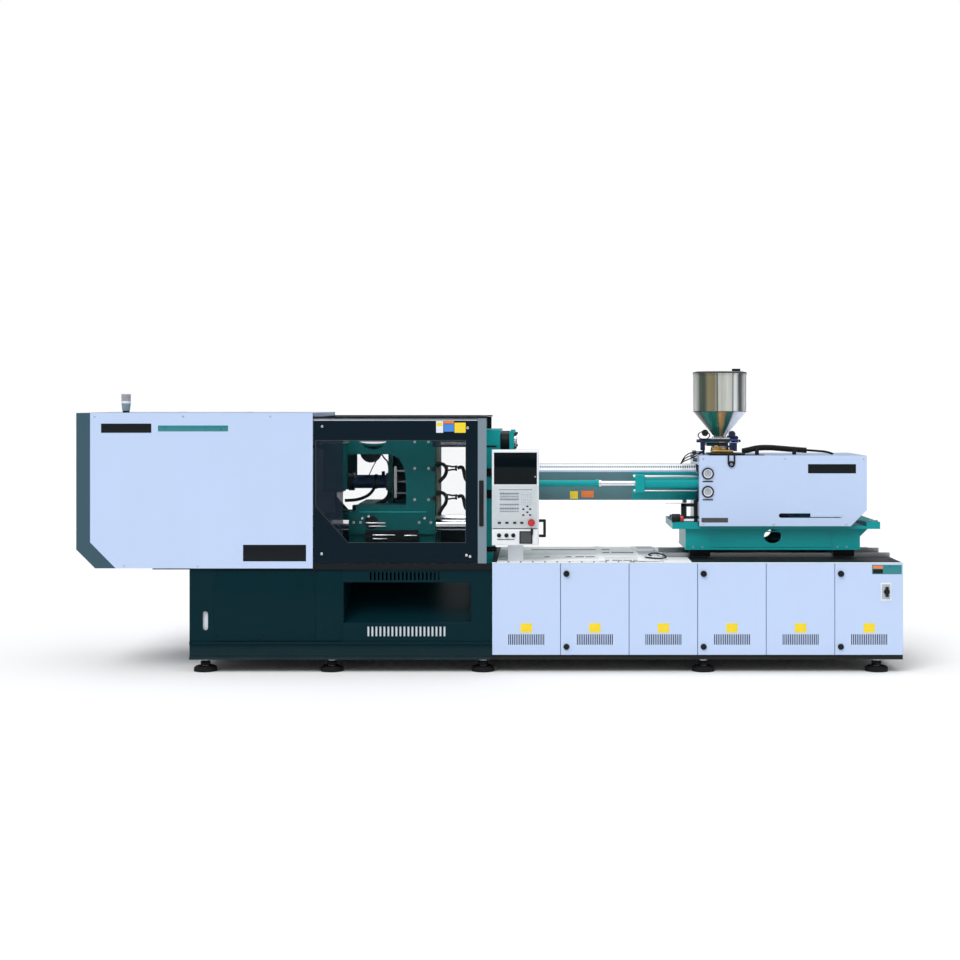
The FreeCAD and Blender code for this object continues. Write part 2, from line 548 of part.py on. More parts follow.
def doors():
    for i in range(DOORS):
        x0, x1 = door_edges(i)
        outer = box((x0, x1), (-SKIN_Y, -SKIN_Y + DOOR_T), DOOR_Z)
        upright = [e for e in outer.Edges if abs(e.Vertexes[0].Z - e.Vertexes[1].Z) > 1 and e.Vertexes[0].Y < -SKIN_Y + 1]
        outer = outer.makeFillet(DOOR_EDGE_R, upright)
        hollow = box((x0 + 3, x1 - 3), (-SKIN_Y + 3, -SKIN_Y + DOOR_T + 1), (DOOR_Z[0] + 3, DOOR_Z[1] - 3))
        cuts = [hollow] + vent_cuts((x0 + x1) / 2, -SKIN_Y - 1, -SKIN_Y + 4)
        lock_x = x0 + LOCK_INSET
        if i % 2 == 1:
            for z in LOCK_Z:
                cuts.append(rod("y", (lock_x, -SKIN_Y - 1, z), LOCK_SHAFT_R + RUN, 5.0))
        if i == DOORS - 1:
            cuts.append(rod("y", (BREAKER[0], -SKIN_Y - 1, BREAKER[1]), LOCK_SHAFT_R + RUN, 5.0))
        save("door_%d" % (i + 1), cut(outer, cuts))


LOCK_INSET = 48.0
LOCK_Z = (840.0, 221.0)
LOCK_SHAFT_R = 8.0
BREAKER = (3362.0, 688.0)


def door_locks():
    for i in (1, 3, 5):
        x = door_edges(i)[0] + LOCK_INSET
        z = LOCK_Z[0]
        knob = rod("y", (x, -SKIN_Y - 18.0, z), 26.0, 17.7)
        shaft = rod("y", (x, -SKIN_Y - 1.0, z), LOCK_SHAFT_R, 17.0)
        cam = box((x - 42.0, x + 10.0), (-SKIN_Y + 8.0, -SKIN_Y + 14.0), (z - 11.0, z + 11.0))
        ridge = box((x - 4.0, x + 4.0), (-SKIN_Y - 26.0, -SKIN_Y - 17.0), (z - 22.0, z + 22.0))
        save("door_lock_%d" % (i + 1), fuse([knob, shaft, cam, ridge]))
    x, z = BREAKER
    disc = rod("y", (x, -SKIN_Y - 14.0, z), 24.0, 13.7)
    lever = box((x - 12.0, x + 12.0), (-SKIN_Y - 34.0, -SKIN_Y - 13.0), (z - 42.0, z + 42.0))
    shaft = rod("y", (x, -SKIN_Y - 1.0, z), LOCK_SHAFT_R, 15.0)
    save("breaker_handle", fuse([disc, lever, shaft]))


# ---- control box ------------------------------------------------------------------------------
PANEL_X = (17.0, 416.0)
PANEL_Y = (-810.0, -664.0)
PANEL_Z = (1080.0, 1890.0)
ARM = (216.0, -620.0)
BUTTON = (352.0, 1273.0)


def control_box():
    body = box(PANEL_X, PANEL_Y, PANEL_Z)
    body = body.makeFillet(14.0, [e for e in body.Edges if abs(e.Vertexes[0].Y + 810) < 1 and abs(e.Vertexes[1].Y + 810) < 1])
    recess = box((34.0, 400.0), (-811.0, -804.0), (1596.0, 1868.0))
    rings = []
    for z in (1300.0, 1600.0):
        rings.append(rod("z", (ARM[0], ARM[1], z), 44.0, 70.0))
        rings.append(box((ARM[0] - 30.0, ARM[0] + 30.0), (PANEL_Y[1], ARM[1]), (z, z + 70.0)))
    handle = [box((414.0, 470.0), (-760.0, -740.0), (z, z + 18.0)) for z in (1152.0, 1274.0)]
    handle.append(box((456.0, 474.0), (-762.0, -738.0), (1152.0, 1292.0)))
    cuts = [recess, rod("z", (ARM[0], ARM[1], 1290.0), 30.0 + RUN, 400.0)]
    cuts.append(rod("y", (BUTTON[0], -811.0, BUTTON[1]), 11.0 + RUN, 30.0))
    save("control_box", cut(fuse([body] + rings + handle), cuts))
    cap = rod("y", (BUTTON[0], -840.0, BUTTON[1]), 25.0, 20.0)
    stem = rod("y", (BUTTON[0], -821.0, BUTTON[1]), 11.0, 30.0)
    save("emergency_button", fuse([cap, stem]))
    post = rod("z", (ARM[0], ARM[1], BED_TOP_Z + 8.0), 30.0, 810.0)
    collar = rod("z", (ARM[0], ARM[1], BED_TOP_Z + 8.0), 60.0, 30.0)
    stop = rod("z", (ARM[0], ARM[1], 1280.0), 44.0, 19.5)
    save("control_arm", fuse([post, collar, stop]))


# ---- injection unit ---------------------------------------------------------------------------
def carriage_rails():
    rail = box((1500.0, 3495.0), (228.0, 272.0), (BED_TOP_Z, BED_TOP_Z + 42.0))
    save("carriage_rails", both_sides(rail))


def pull_rods():
    bar = rod("x", (FIXED_X[2], RAM_Y, RAM_Z), PULL_ROD_R, 1410.0)
    save("pull_rods", both_sides(bar))


def carriage_base():
    body_x = (1695.0, 3219.0)
    plate = box((CARRIAGE_X[0] + 8.0, CARRIAGE_X[1]), (-400.0, 400.0), (1190.0, 1214.0))
    parts = [plate]
    for x0, x1 in ((CARRIAGE_X[0], 1800.0), (3268.0, CARRIAGE_X[1])):
        parts.append(box((x0, x1), (-400.0, 400.0), (1190.0, 1250.0)))
    side = box(body_x, (322.0, 350.0), (1007.0, 1190.0))
    parts += both_sides(side)
    foot = box(body_x, (200.0, 380.0), (1007.0, 1025.0))
    parts += both_sides(foot)
    for x in (1695.0, 2120.0, 2780.0, 3191.0):
        parts.append(box((x, x + 28.0), (-350.0, 350.0), (1007.0, 1190.0)))
    gusset = prism_y([(3219.0, 1190.0), (3219.0, 1120.0), (3290.0, 1190.0)], 322.0, 350.0)
    parts += both_sides(gusset)
    for x in (1740.0, 3000.0):
        block = box((x, x + 170.0), (200.0, 300.0), (BED_TOP_Z + 12.0, 1008.0))
        groove = box((x - 1, x + 171.0), (227.5, 272.5), (BED_TOP_Z + 11.0, BED_TOP_Z + 42.5))
        parts += both_sides(cut(block, [groove]))
    body = fuse(parts)
    oval = rod("y", (0, -SKIN_Y, 0), 61.0, 2 * SKIN_Y)
    stretch = FreeCAD.Matrix()
    stretch.scale(V(75.0 / 61.0, 1, 1))
    oval = oval.transformGeometry(stretch)
    oval.translate(V(2457.0, 0, 1122.0))
    save("carriage_base", cut(body, [oval]))


def injection_cover():
    (x0, x1), (z0, z1) = COVER_X, COVER_Z
    outline = [(x0, z0), (x1 - 140.0, z0), (x1, z0 + 140.0), (x1, z1), (x0, z1)]
    outer = prism_y(outline, -COVER_Y, COVER_Y)
    t = SHEET
    inside = [(x0 + t, z0 - 1), (x1 - 140.0 - t, z0 - 1), (x1 - 140.0 - t, z0 + 2), (x1 - t, z0 + 140.0 + t / 2),
              (x1 - t, z1 - t), (x0 + t, z1 - t)]
    inner = prism_y(inside, -COVER_Y + t, COVER_Y - t)
    under = box((x0 + 40.0, x1 - 140.0), (-420.0, 420.0), (z0 - 5.0, z0 + 10.0))
    port = box((x0 - 1, x0 + 10.0), (-370.0, 370.0), (1420.0, 1745.0))
    neck = rod("z", (HOPPER_X, 0, z1 - 20.0), 90.0, 40.0)
    slot = fuse([box((2516.0, 3024.0), (-SKIN_Y, SKIN_Y), (1290.0, 1329.0)),
                 rod("y", (2516.0, -SKIN_Y, 1309.5), 19.5, 2 * SKIN_Y),
                 rod("y", (3024.0, -SKIN_Y, 1309.5), 19.5, 2 * SKIN_Y)])
    save("injection_cover", cut(outer, [inner, under, port, neck, slot]))


def barrel():
    tip_x = 110.0
    parts = [cone("x", (tip_x, 0, CENTRE_Z), 14.0, 24.0, 60.0), rod("x", (tip_x + 60.0, 0, CENTRE_Z), 26.0, 60.0),
             rod("x", (tip_x + 110.0, 0, CENTRE_Z), 40.0, 90.0), rod("x", (300.0, 0, CENTRE_Z), BARREL_R, 1900.0)]
    cuts = [rod("x", (tip_x - 1, 0, CENTRE_Z), 4.0, 200.0), rod("x", (290.0, 0, CENTRE_Z), SCREW_R + RUN, 1920.0)]
    cuts.append(rod("z", (HOPPER_X, 0, CENTRE_Z), 24.0, 100.0))
    save("barrel", cut(fuse(parts), cuts))
    shaft = rod("x", (360.0, 0, CENTRE_Z), SCREW_R, 1990.0)
    nose = cone("x", (306.0, 0, CENTRE_Z), 4.0, SCREW_R - 2.0, 54.5)
    save("screw", fuse([shaft, nose]))


def barrel_guard():
    y, z0, z1 = 168.0, CENTRE_Z - 155.0, CENTRE_Z + 99.0
    crown = 56.0
    outer = [(-y, z0), (y, z0), (y, z1), (y - 30.0, z1 + crown), (-y + 30.0, z1 + crown), (-y, z1)]
    t = SHEET
    inner = [(-y + t, z0 + t), (y - t, z0 + t), (y - t, z1 - 1), (y - 30.0 - t, z1 + crown - t),
             (-y + 30.0 + t, z1 + crown - t), (-y + t, z1 - 1)]
    shell = cut(prism_x(outer, 415.0, 1806.0), [prism_x(inner, 414.0, 1807.0)])
    stand = fuse([box((1700.0, 1730.0), (-60.0, 60.0), (1250.0, z0))])
    save("barrel_guard", fuse([shell, stand]))


def feed_throat():
    block = box((1900.0, 2160.0), (-130.0, 130.0), (1440.0, 1730.0))
    pedestal = box((1920.0, 2140.0), (-200.0, 200.0), (1214.0, 1440.0))
    bridge = box((1840.0, 1900.0), (-358.0, 358.0), (1500.0, 1665.0))
    neck = rod("z", (HOPPER_X, 0, 1730.0), 76.0, 205.0)
    body = fuse([block, pedestal, bridge, neck])
    cuts = [rod("x", (1800.0, 0, CENTRE_Z), BARREL_R + 0.05, 420.0), rod("z", (HOPPER_X, 0, CENTRE_Z + 55.0), 40.0, 400.0)]
    cuts.append(box((HOPPER_X - 60.0, HOPPER_X + 200.0), (-55.0, 55.0), (1890.0, 1906.0)))
    save("feed_throat", cut(body, cuts))
    blade = box((HOPPER_X - 58.0, HOPPER_X + 90.0), (-54.0, 54.0), (1890.5, 1905.5))
    grip = box((HOPPER_X + 88.0, HOPPER_X + 150.0), (-45.0, 45.0), (1857.0, 1932.0))
    port = rod("z", (HOPPER_X, 0, 1880.0), 40.0, 60.0)
    save("hopper_shutoff", cut(fuse([blade, grip]), [port]))


def carriage_cylinders():
    cyls = []
    for y in (-RAM_Y, RAM_Y):
        body = rod("x", (1290.0, y, RAM_Z), 54.0, 550.0)
        head = box((1258.0, 1337.0), (y - 62.0, y + 62.0), (RAM_Z - 75.0, RAM_Z + 75.0))
        cyls.append(cut(fuse([body, head]), [rod("x", (1250.0, y, RAM_Z), PULL_ROD_R + 0.4, 580.0)]))
    save("carriage_cylinders", cyls)


def screw_drive():
    plate = box((2350.0, 2430.0), (-300.0, 300.0), (1330.0, 1800.0))
    motor = rod("x", (2430.0, 0, CENTRE_Z), 125.0, 420.0)
    ribs = [box((2430.0, 2600.0), (-150.0, -125.0), (1330.0, 1500.0))]
    feet = box((2350.0, 2600.0), (240.0, 300.0), (1214.5, 1340.0))
    save("screw_drive", fuse([plate, motor] + both_sides(feet) + ribs + [mirror_y(r) for r in ribs]))


def hopper():
    wall = 3.0
    z_top, z_cone, z_neck, z_flange = 2551.0, 2210.0, 1985.0, 1935.0
    neck_r = 50.0
    profile = [(HOPPER_R, z_top), (HOPPER_R, z_cone), (neck_r, z_neck), (neck_r, z_flange + 12.0), (neck_r - wall, z_flange + 12.0),
               (neck_r - wall, z_neck + 1.0), (HOPPER_R - wall, z_cone + 1.0), (HOPPER_R - wall, z_top)]
    points = [V(HOPPER_X + r, 0, z) for r, z in profile]
    face = Part.Face(Part.makePolygon(points + points[:1]))
    shell = face.revolve(V(HOPPER_X, 0, 0), V(0, 0, 1), 360.0)
    flange = box((HOPPER_X - 198.0 + 40.0, HOPPER_X + 158.0), (-150.0, 150.0), (z_flange, z_flange + 14.0))
    flange = cut(flange, [rod("z", (HOPPER_X, 0, z_flange - 1), 40.0, 30.0)])
    rim = rod("z", (HOPPER_X, 0, z_top - 14.0), HOPPER_R + 5.0, 12.0)
    rim = cut(rim, [rod("z", (HOPPER_X, 0, z_top - 15.0), HOPPER_R - wall, 20.0)])
    hinge_y, hinge_z, hinge_r = 248.0, 2556.0, 6.0
    knuckles = []
    for x in (HOPPER_X - 70.0, HOPPER_X + 41.0):
        knuckles.append(rod("x", (x, hinge_y, hinge_z), hinge_r, 29.0))
        knuckles.append(box((x, x + 29.0), (228.0, 252.0), (z_top - 14.0, z_top - 2.0)))
        knuckles.append(box((x, x + 29.0), (241.0, 252.0), (z_top - 3.0, hinge_z)))
    save("hopper", fuse([shell, flange, rim] + knuckles))
    disc = rod("z", (HOPPER_X, 0, z_top + 1.0), HOPPER_R + 4.0, 8.0)
    crown = cone("z", (HOPPER_X, 0, z_top + 8.5), HOPPER_R - 4.0, HOPPER_R - 30.0, 8.5)
    clip = box((2144.0, 2210.0), (-28.0, 28.0), (z_top + 8.0, LID_TOP_Z))
    tab = box((HOPPER_X - 40.0, HOPPER_X + 40.0), (222.0, hinge_y), (z_top + 1.0, z_top + 9.0))
    pin = rod("x", (HOPPER_X - 40.0, hinge_y, hinge_z), hinge_r, 80.0)
    save("hopper_lid", fuse([disc, crown, clip, tab, pin]))


def build():
    os.makedirs("parts", exist_ok=True)
    for make in (clamp_base, slideways, levelling_feet, fixed_platen, moving_platen, platen_shoes, ejector,
                 rear_platen, tie_bars, toggle, crosshead, clamp_covers, gate_frame, gates, injection_bed,
                 bed_covers, back_panels, pump_motor, doors, door_locks, control_box, carriage_rails, pull_rods,
                 carriage_base, injection_cover, barrel, barrel_guard, feed_throat, carriage_cylinders,
                 screw_drive, hopper):
        make()
    print("rear pivot x", round(REAR_PIVOT_X, 1), "elbow", round(ELBOW_X, 1), round(ELBOW_Z, 1))
    print("crosshead x", round(CROSS_X, 1), "lug", round(LUG_X, 1), round(LUG_Z, 1), "rear back", round(REAR_BACK_X, 1))


build()
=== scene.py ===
import math

import bmesh
import bpy
from bpy.props import FloatProperty, FloatVectorProperty, PointerProperty
from mathutils import Matrix, Vector


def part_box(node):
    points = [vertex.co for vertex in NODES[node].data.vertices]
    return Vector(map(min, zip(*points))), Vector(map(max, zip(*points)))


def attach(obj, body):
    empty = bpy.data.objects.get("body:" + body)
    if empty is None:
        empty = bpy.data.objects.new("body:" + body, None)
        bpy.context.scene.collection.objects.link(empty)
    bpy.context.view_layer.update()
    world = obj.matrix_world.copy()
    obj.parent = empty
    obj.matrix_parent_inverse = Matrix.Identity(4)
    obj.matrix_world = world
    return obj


bl_info = {
    "name": "Injection moulding machine",
    "version": (1, 0, 0),
    "blender": (4, 5, 0),
    "location": "View3D > Sidebar > Moulding machine",
    "description": "Finishes and fittings of a horizontal injection moulding machine",
    "category": "Object",
}

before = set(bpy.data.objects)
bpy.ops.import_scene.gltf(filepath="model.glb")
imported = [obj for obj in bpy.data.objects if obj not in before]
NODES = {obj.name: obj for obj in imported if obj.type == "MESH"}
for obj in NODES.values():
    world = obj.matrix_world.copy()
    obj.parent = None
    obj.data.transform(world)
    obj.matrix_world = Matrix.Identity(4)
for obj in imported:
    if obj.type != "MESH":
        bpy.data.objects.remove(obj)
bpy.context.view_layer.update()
AXES = {"x": Vector((1, 0, 0)), "y": Vector((0, 1, 0)), "z": Vector((0, 0, 1))}
FRONT, REAR = SIDES = (-1, 1)   # sign of y on the operator's side and on the far side
BEVEL = 0.0015                  # rounding of an edge that has no other size
SHARP_ANGLE = 35.0              # degrees between faces from which an edge stays crisp
POLE = 0.0004                   # radius at which a turned outline meets its axis
PRINT = 0.0003                  # rounding of a thin plain field or bar
SCREW_LINE = 1.585              # height of the ejector, barrel and screw
HOPPER_X = 2.03                 # upright axis of the hopper and feed throat
BASE_SKIN = 0.776               # half depth of the clamp base's skin
COVER_SKIN = 0.8                # half depth of the clamp covers
PULL_ROD_Y, PULL_ROD_Z = 0.30, 1.582


# ---- settings a user may change ---------------------------------------------------------------
def colour_setting(name, description, default):
    """Colour field of the settings, in linear red, green and blue."""
    return FloatVectorProperty(name=name, description=description, default=default, size=3,
                               subtype="COLOR", min=0.0, max=1.0)


def length_setting(name, description, default):
    """Length field of the settings, in metres."""
    return FloatProperty(name=name, description=description, default=default, subtype="DISTANCE",
                         unit="LENGTH", min=0.0)


class MachineColours(bpy.types.PropertyGroup):
    """Colours of the painted parts."""
    cover: colour_setting("Cover", "Powder coat of the covers and doors", (0.48, 0.592, 0.812))
    trim: colour_setting("Trim", "Paint of the end cover and gate strip", (0.040, 0.086, 0.115))
    base: colour_setting("Base", "Enamel of the clamp base", (0.002, 0.019, 0.026))
    casting: colour_setting("Castings", "Enamel of the platens and carriage", (0.001, 0.29, 0.30))
    black: colour_setting("Black", "Enamel of the bed frame and brackets", (0.009, 0.011, 0.013))
    guard: colour_setting("Barrel guard", "Paint of the barrel guard", (0.088, 0.185, 0.205))
    blue: colour_setting("Blue", "Enamel of cylinders and motors", (0.008, 0.026, 0.085))
    gate: colour_setting("Gate border", "Dark border of the front gate", (0.004, 0.011, 0.018))
    strip: colour_setting("Gate strip", "Paint of the gate's closing strip", (0.165, 0.225, 0.27))
    panel: colour_setting("Control box", "Paint of the control box", (0.74, 0.77, 0.80))


class MachineSizes(bpy.types.PropertyGroup):
    """Sizes of the repeated fittings."""
    bolt: length_setting("Bolt head", "Radius of the platen bolt heads", 0.019)
    hose: length_setting("Hose", "Radius of the hoses across the mould space", 0.0155)
    cable: length_setting("Cable", "Radius of the sensor cables", 0.004)
    screw: length_setting("Cover screw", "Radius of the cover screw heads", 0.008)


def sizes():
    """The scene's own sizes of the repeated fittings."""
    return bpy.context.scene.moulder_sizes


# ---- mesh helpers -------------------------------------------------------------------------------
def both_depths(side, near, far):
    """Two distances from the middle plane as rising y values on one side."""
    return sorted((side * near, side * far))


def edges_round(verts):
    """The edges at the vertices, each once and always in the same order."""
    return list(dict.fromkeys(e for v in verts for e in v.link_edges))


def thicken(bm, faces, along):
    """Closed solid from flat faces, drawn out along a vector."""
    grown = bmesh.ops.extrude_face_region(bm, geom=faces)
    bmesh.ops.translate(bm, vec=along, verts=[v for v in grown["geom"] if isinstance(v, bmesh.types.BMVert)])


def closed_line(bm, places):
    """Vertices at the places, and the edges that join them in a loop."""
    verts = [bm.verts.new(place) for place in places]
    return verts, [bm.edges.new((verts[i], verts[(i + 1) % len(verts)])) for i in range(len(verts))]


def turn_to(axis):
    """Rotation that takes +Z to the named axis."""
    return Vector((0, 0, 1)).rotation_difference(AXES[axis]).to_matrix().to_4x4()


def block(bm, low, high, bevel=BEVEL):
    """Box from its low to its high corner, with rounded edges."""
    low, high = Vector(low), Vector(high)
    size = high - low
    place = Matrix.Translation((low + high) / 2) @ Matrix.Diagonal((*size, 1.0))
    made = bmesh.ops.create_cube(bm, size=1.0, matrix=place)
    if bevel:
        bmesh.ops.bevel(bm, geom=edges_round(made["verts"]), offset=min(bevel, min(size) * 0.45),
                        offset_type="OFFSET",
                        segments=2, profile=0.5, affect="EDGES", material=-1)


def drum(bm, centre, axis, radius, depth, segments=24, top=None, bevel=BEVEL):
    """Cylinder or cone centred on a point, with rounded rims."""
    place = Matrix.Translation(centre) @ turn_to(axis)
    made = bmesh.ops.create_cone(bm, cap_ends=True, cap_tris=False, segments=segments, radius1=radius,
                                 radius2=radius if top is None else top, depth=depth, matrix=place)
    if bevel:
        rims = [e for e in edges_round(made["verts"]) if any(len(f.verts) > 4 for f in e.link_faces)]
        bmesh.ops.bevel(bm, geom=rims, offset=min(bevel, depth * 0.3, radius * 0.3), offset_type="OFFSET",
                        segments=2, profile=0.5, affect="EDGES", material=-1)


def lathe(bm, centre, axis, outline, steps=32):
    """Closed outline of (radius, height) points turned once round an axis."""
    turn = turn_to(axis)
    verts, edges = closed_line(bm, [Vector(centre) + turn @ Vector((r, 0, h)) for r, h in outline])
    bmesh.ops.spin(bm, geom=verts + edges, cent=Vector(centre), axis=AXES[axis], angle=2 * math.pi,
                   steps=steps, use_merge=True, use_duplicate=False)
    bmesh.ops.remove_doubles(bm, verts=bm.verts[:], dist=1e-6)


def ring(bm, centre, axis, outer, inner, depth, steps=32):
    """Square-edged ring centred on a point, between two radii."""
    half = depth / 2
    lathe(bm, centre, axis, [(inner, -half), (outer, -half), (outer, half), (inner, half)], steps)


def cut_plate(bm, outer, hole, y0, y1):
    """Upright plate with a hole: outlines of (x, z) points, between two depths."""
    edges = []
    for outline in (outer, hole):
        edges += closed_line(bm, [(x, y0, z) for x, z in outline])[1]
    made = bmesh.ops.triangle_fill(bm, use_beauty=True, use_dissolve=False, edges=edges, normal=(0, -1, 0))
    thicken(bm, [f for f in made["geom"] if isinstance(f, bmesh.types.BMFace)], (0, y1 - y0, 0))


def hex_bolt(bm, centre, axis, radius, depth):
    """Hexagon head on a washer, standing along an axis from its seat."""
    direction = AXES[axis]
    drum(bm, Vector(centre) + direction * depth * 0.1, axis, radius * 1.35, abs(depth) * 0.2, 20, bevel=0.0005)
    drum(bm, Vector(centre) + direction * depth * 0.6, axis, radius, abs(depth) * 0.8, 6, bevel=0.001)


def socket_screw(bm, centre, side, radius):
    """Round screw head with a hexagon socket, facing front (-1) or rear (1)."""
    lathe(bm, centre, "y", [(POLE, 0), (radius, 0), (radius, side * radius * 0.55),
                            (radius * 0.8, side * radius * 0.75), (radius * 0.45, side * radius * 0.75),
                            (radius * 0.45, side * radius * 0.35), (POLE, side * radius * 0.35)], 12)


def show(name, mesh, material, body):
    """Puts a finished mesh in the scene, at the origin, riding on a body."""
    mesh.materials.append(MATERIALS[material])
    made = bpy.data.objects.new(name, mesh)
    bpy.context.scene.collection.objects.link(made)
    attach(made, body)


def piece(name, bm, material, body):
    """Turns a bmesh into a finished object that rides on a body."""
    bmesh.ops.recalc_face_normals(bm, faces=bm.faces[:])
    mesh = bpy.data.meshes.new(name)
    bm.to_mesh(mesh)
    bm.free()
    mesh.shade_smooth()
    mesh.set_sharp_from_angle(angle=math.radians(SHARP_ANGLE))
    show(name, mesh, material, body)


def blocks(name, pairs, material, body, bevel=BEVEL):
    """One piece of several boxes."""
    bm = bmesh.new()
    for low, high in pairs:
        block(bm, low, high, bevel)
    piece(name, bm, material, body)


def curve_mesh(name, points, resolution, radius=0.0, sides=4):
    """Mesh of a smooth curve through control points: a round tube, or a bare line at no radius."""
    curve = bpy.data.curves.new(name, "CURVE")
    curve.dimensions = "3D"
    curve.bevel_depth = radius
    curve.bevel_resolution = sides
    curve.use_fill_caps = True
    curve.resolution_u = resolution
    spline = curve.splines.new("NURBS")
    spline.points.add(len(points) - 1)
    for point, place in zip(spline.points, points):
        point.co = (*place, 1.0)
    spline.order_u = 3
    spline.use_endpoint_u = True
    shape = bpy.data.objects.new(name, curve)
    mesh = bpy.data.meshes.new_from_object(shape)
    bpy.data.objects.remove(shape)
    return mesh


def hose(name, points, radius, body, sides=4):
    """Round rubber hose or cable through given control points."""
    mesh = curve_mesh(name, points, 10, radius, sides)
    mesh.shade_smooth()
    mesh.materials.clear()
    show(name, mesh, "black_rubber", body)


def line_points(name, points):
    """Points along the smooth line through control points."""
    mesh = curve_mesh(name, points, 12)
    line = [v.co.copy() for v in mesh.vertices]
    bpy.data.meshes.remove(mesh)
    return line


# ---- shader node groups -------------------------------------------------------------------------
RESULTS = [("Colour", "colour"), ("Roughness", "value"), ("Height", "value")]


def new_group(name, inputs, outputs=RESULTS):
    """A node group with its sockets, its two end nodes and the place on the object."""
    group = bpy.data.node_groups.new(name, "ShaderNodeTree")
    kinds = {"colour": "NodeSocketColor", "value": "NodeSocketFloat", "vector": "NodeSocketVector"}
    for label, kind, default in inputs:
        socket = group.interface.new_socket(name=label, in_out="INPUT", socket_type=kinds[kind])
        socket.default_value = default
    for label, kind in outputs:
        group.interface.new_socket(name=label, in_out="OUTPUT", socket_type=kinds[kind])
    given = group.nodes.new("NodeGroupInput").outputs
    place = group.nodes.new("ShaderNodeTexCoord").outputs["Object"]
    return group, given, place


def close_group(group, **results):
    """Links the results to the group's output."""
    end = group.nodes.new("NodeGroupOutput")
    for key, value in results.items():
        group.links.new(value, end.inputs[key])
    return group


def add_node(tree, kind, values=None, **settings):
    """A node with its settings, its plain input values and its links."""
    node = tree.nodes.new(kind)
    for key, value in settings.items():
        setattr(node, key, value)
    for key, value in (values or {}).items():
        if isinstance(value, bpy.types.NodeSocket):
            tree.links.new(value, node.inputs[key])
        else:
            node.inputs[key].default_value = value
    return node


def noise(tree, place, scale, detail=3.0, roughness=0.5):
    """Cloudy pattern from 0 to 1."""
    return add_node(tree, "ShaderNodeTexNoise", {"Vector": place, "Scale": scale, "Detail": detail,
                                                 "Roughness": roughness}).outputs["Fac"]


def stretched(tree, place, scale):
    """The place squeezed or stretched by a scale along each axis."""
    return add_node(tree, "ShaderNodeMapping", {"Vector": place, "Scale": scale}).outputs[0]


def maths(tree, operation, a, b=0.0, clamp=False):
    """Result of one sum."""
    return add_node(tree, "ShaderNodeMath", {0: a, 1: b}, operation=operation, use_clamp=clamp).outputs[0]


def plus(tree, a, b):
    return maths(tree, "ADD", a, b)


def times(tree, a, b, clamp=False):
    return maths(tree, "MULTIPLY", a, b, clamp)


def blended(tree, first, second, share):
    """Two patterns added up, the second by its share of the whole."""
    return plus(tree, times(tree, first, 1.0 - share), times(tree, second, share))


def spread_value(tree, centre, amount, pattern):
    """centre plus amount times a pattern that runs from -0.5 to 0.5."""
    swing = maths(tree, "SUBTRACT", pattern, 0.5)
    return plus(tree, centre, times(tree, swing, amount))


def tinted(tree, colour, level):
    """Colour made lighter or darker by a level around 1."""
    return add_node(tree, "ShaderNodeHueSaturation", {"Color": colour, "Value": level}).outputs["Color"]


def mixed(tree, share, first, second):
    """Colour between two colours."""
    node = add_node(tree, "ShaderNodeMix", data_type="RGBA")
    tree.links.new(share, node.inputs[0])
    for index, value in ((6, first), (7, second)):
        if isinstance(value, bpy.types.NodeSocket):
            tree.links.new(value, node.inputs[index])
        else:
            node.inputs[index].default_value = value
    return node.outputs[2]


def coat_group():
    """Sprayed paint: slow mottle, orange peel, and dust that gathers towards the floor."""
    group, given, place = new_group(
        "Sprayed coat",
        [("Colour", "colour", (0.5, 0.5, 0.5, 1)), ("Mottle", "value", 0.06), ("Roughness", "value", 0.4),
         ("Spread", "value", 0.1), ("Peel scale", "value", 260.0), ("Dust height", "value", 0.3)])
    slow = noise(group, place, 1.3, 4.0)
    streak = noise(group, stretched(group, place, (7.0, 7.0, 0.9)), 1.0, 5.0, 0.6)
    level = spread_value(group, 1.0, given["Mottle"], blended(group, slow, streak, 0.4))
    height = add_node(group, "ShaderNodeSeparateXYZ", {"Vector": place}).outputs["Z"]
    uneven = plus(group, height, times(group, streak, 0.12))
    low = add_node(group, "ShaderNodeMapRange", {"Value": uneven, "From Min": given["Dust height"],
                                                 "From Max": 0.0}).outputs["Result"]
    dust = times(group, times(group, low, streak), 0.3, clamp=True)
    rough = spread_value(group, given["Roughness"], given["Spread"], noise(group, place, 9.0, 5.0, 0.65))
    return close_group(
        group, Colour=mixed(group, dust, tinted(group, given["Colour"], level), (0.19, 0.18, 0.16, 1)),
        Roughness=plus(group, rough, times(group, dust, 0.6)), Height=noise(group, place, given["Peel scale"], 1.0))


def cast_group():
    """Enamel over a sand casting: pitted skin with slightly darker hollows."""
    group, given, place = new_group(
        "Cast skin",
        [("Colour", "colour", (0.0, 0.3, 0.3, 1)), ("Roughness", "value", 0.35), ("Grain", "value", 55.0)])
    slow = noise(group, place, 2.5, 4.0)
    grain = noise(group, place, given["Grain"], 4.0, 0.6)
    pits = add_node(group, "ShaderNodeTexVoronoi", {"Vector": place, "Scale": 120.0}).outputs["Distance"]
    level = spread_value(group, 1.0, 0.30, blended(group, slow, grain, 0.35))
    return close_group(group, Colour=tinted(group, given["Colour"], level),
                       Roughness=spread_value(group, given["Roughness"], 0.25, grain),
                       Height=plus(group, grain, times(group, pits, 0.25)))


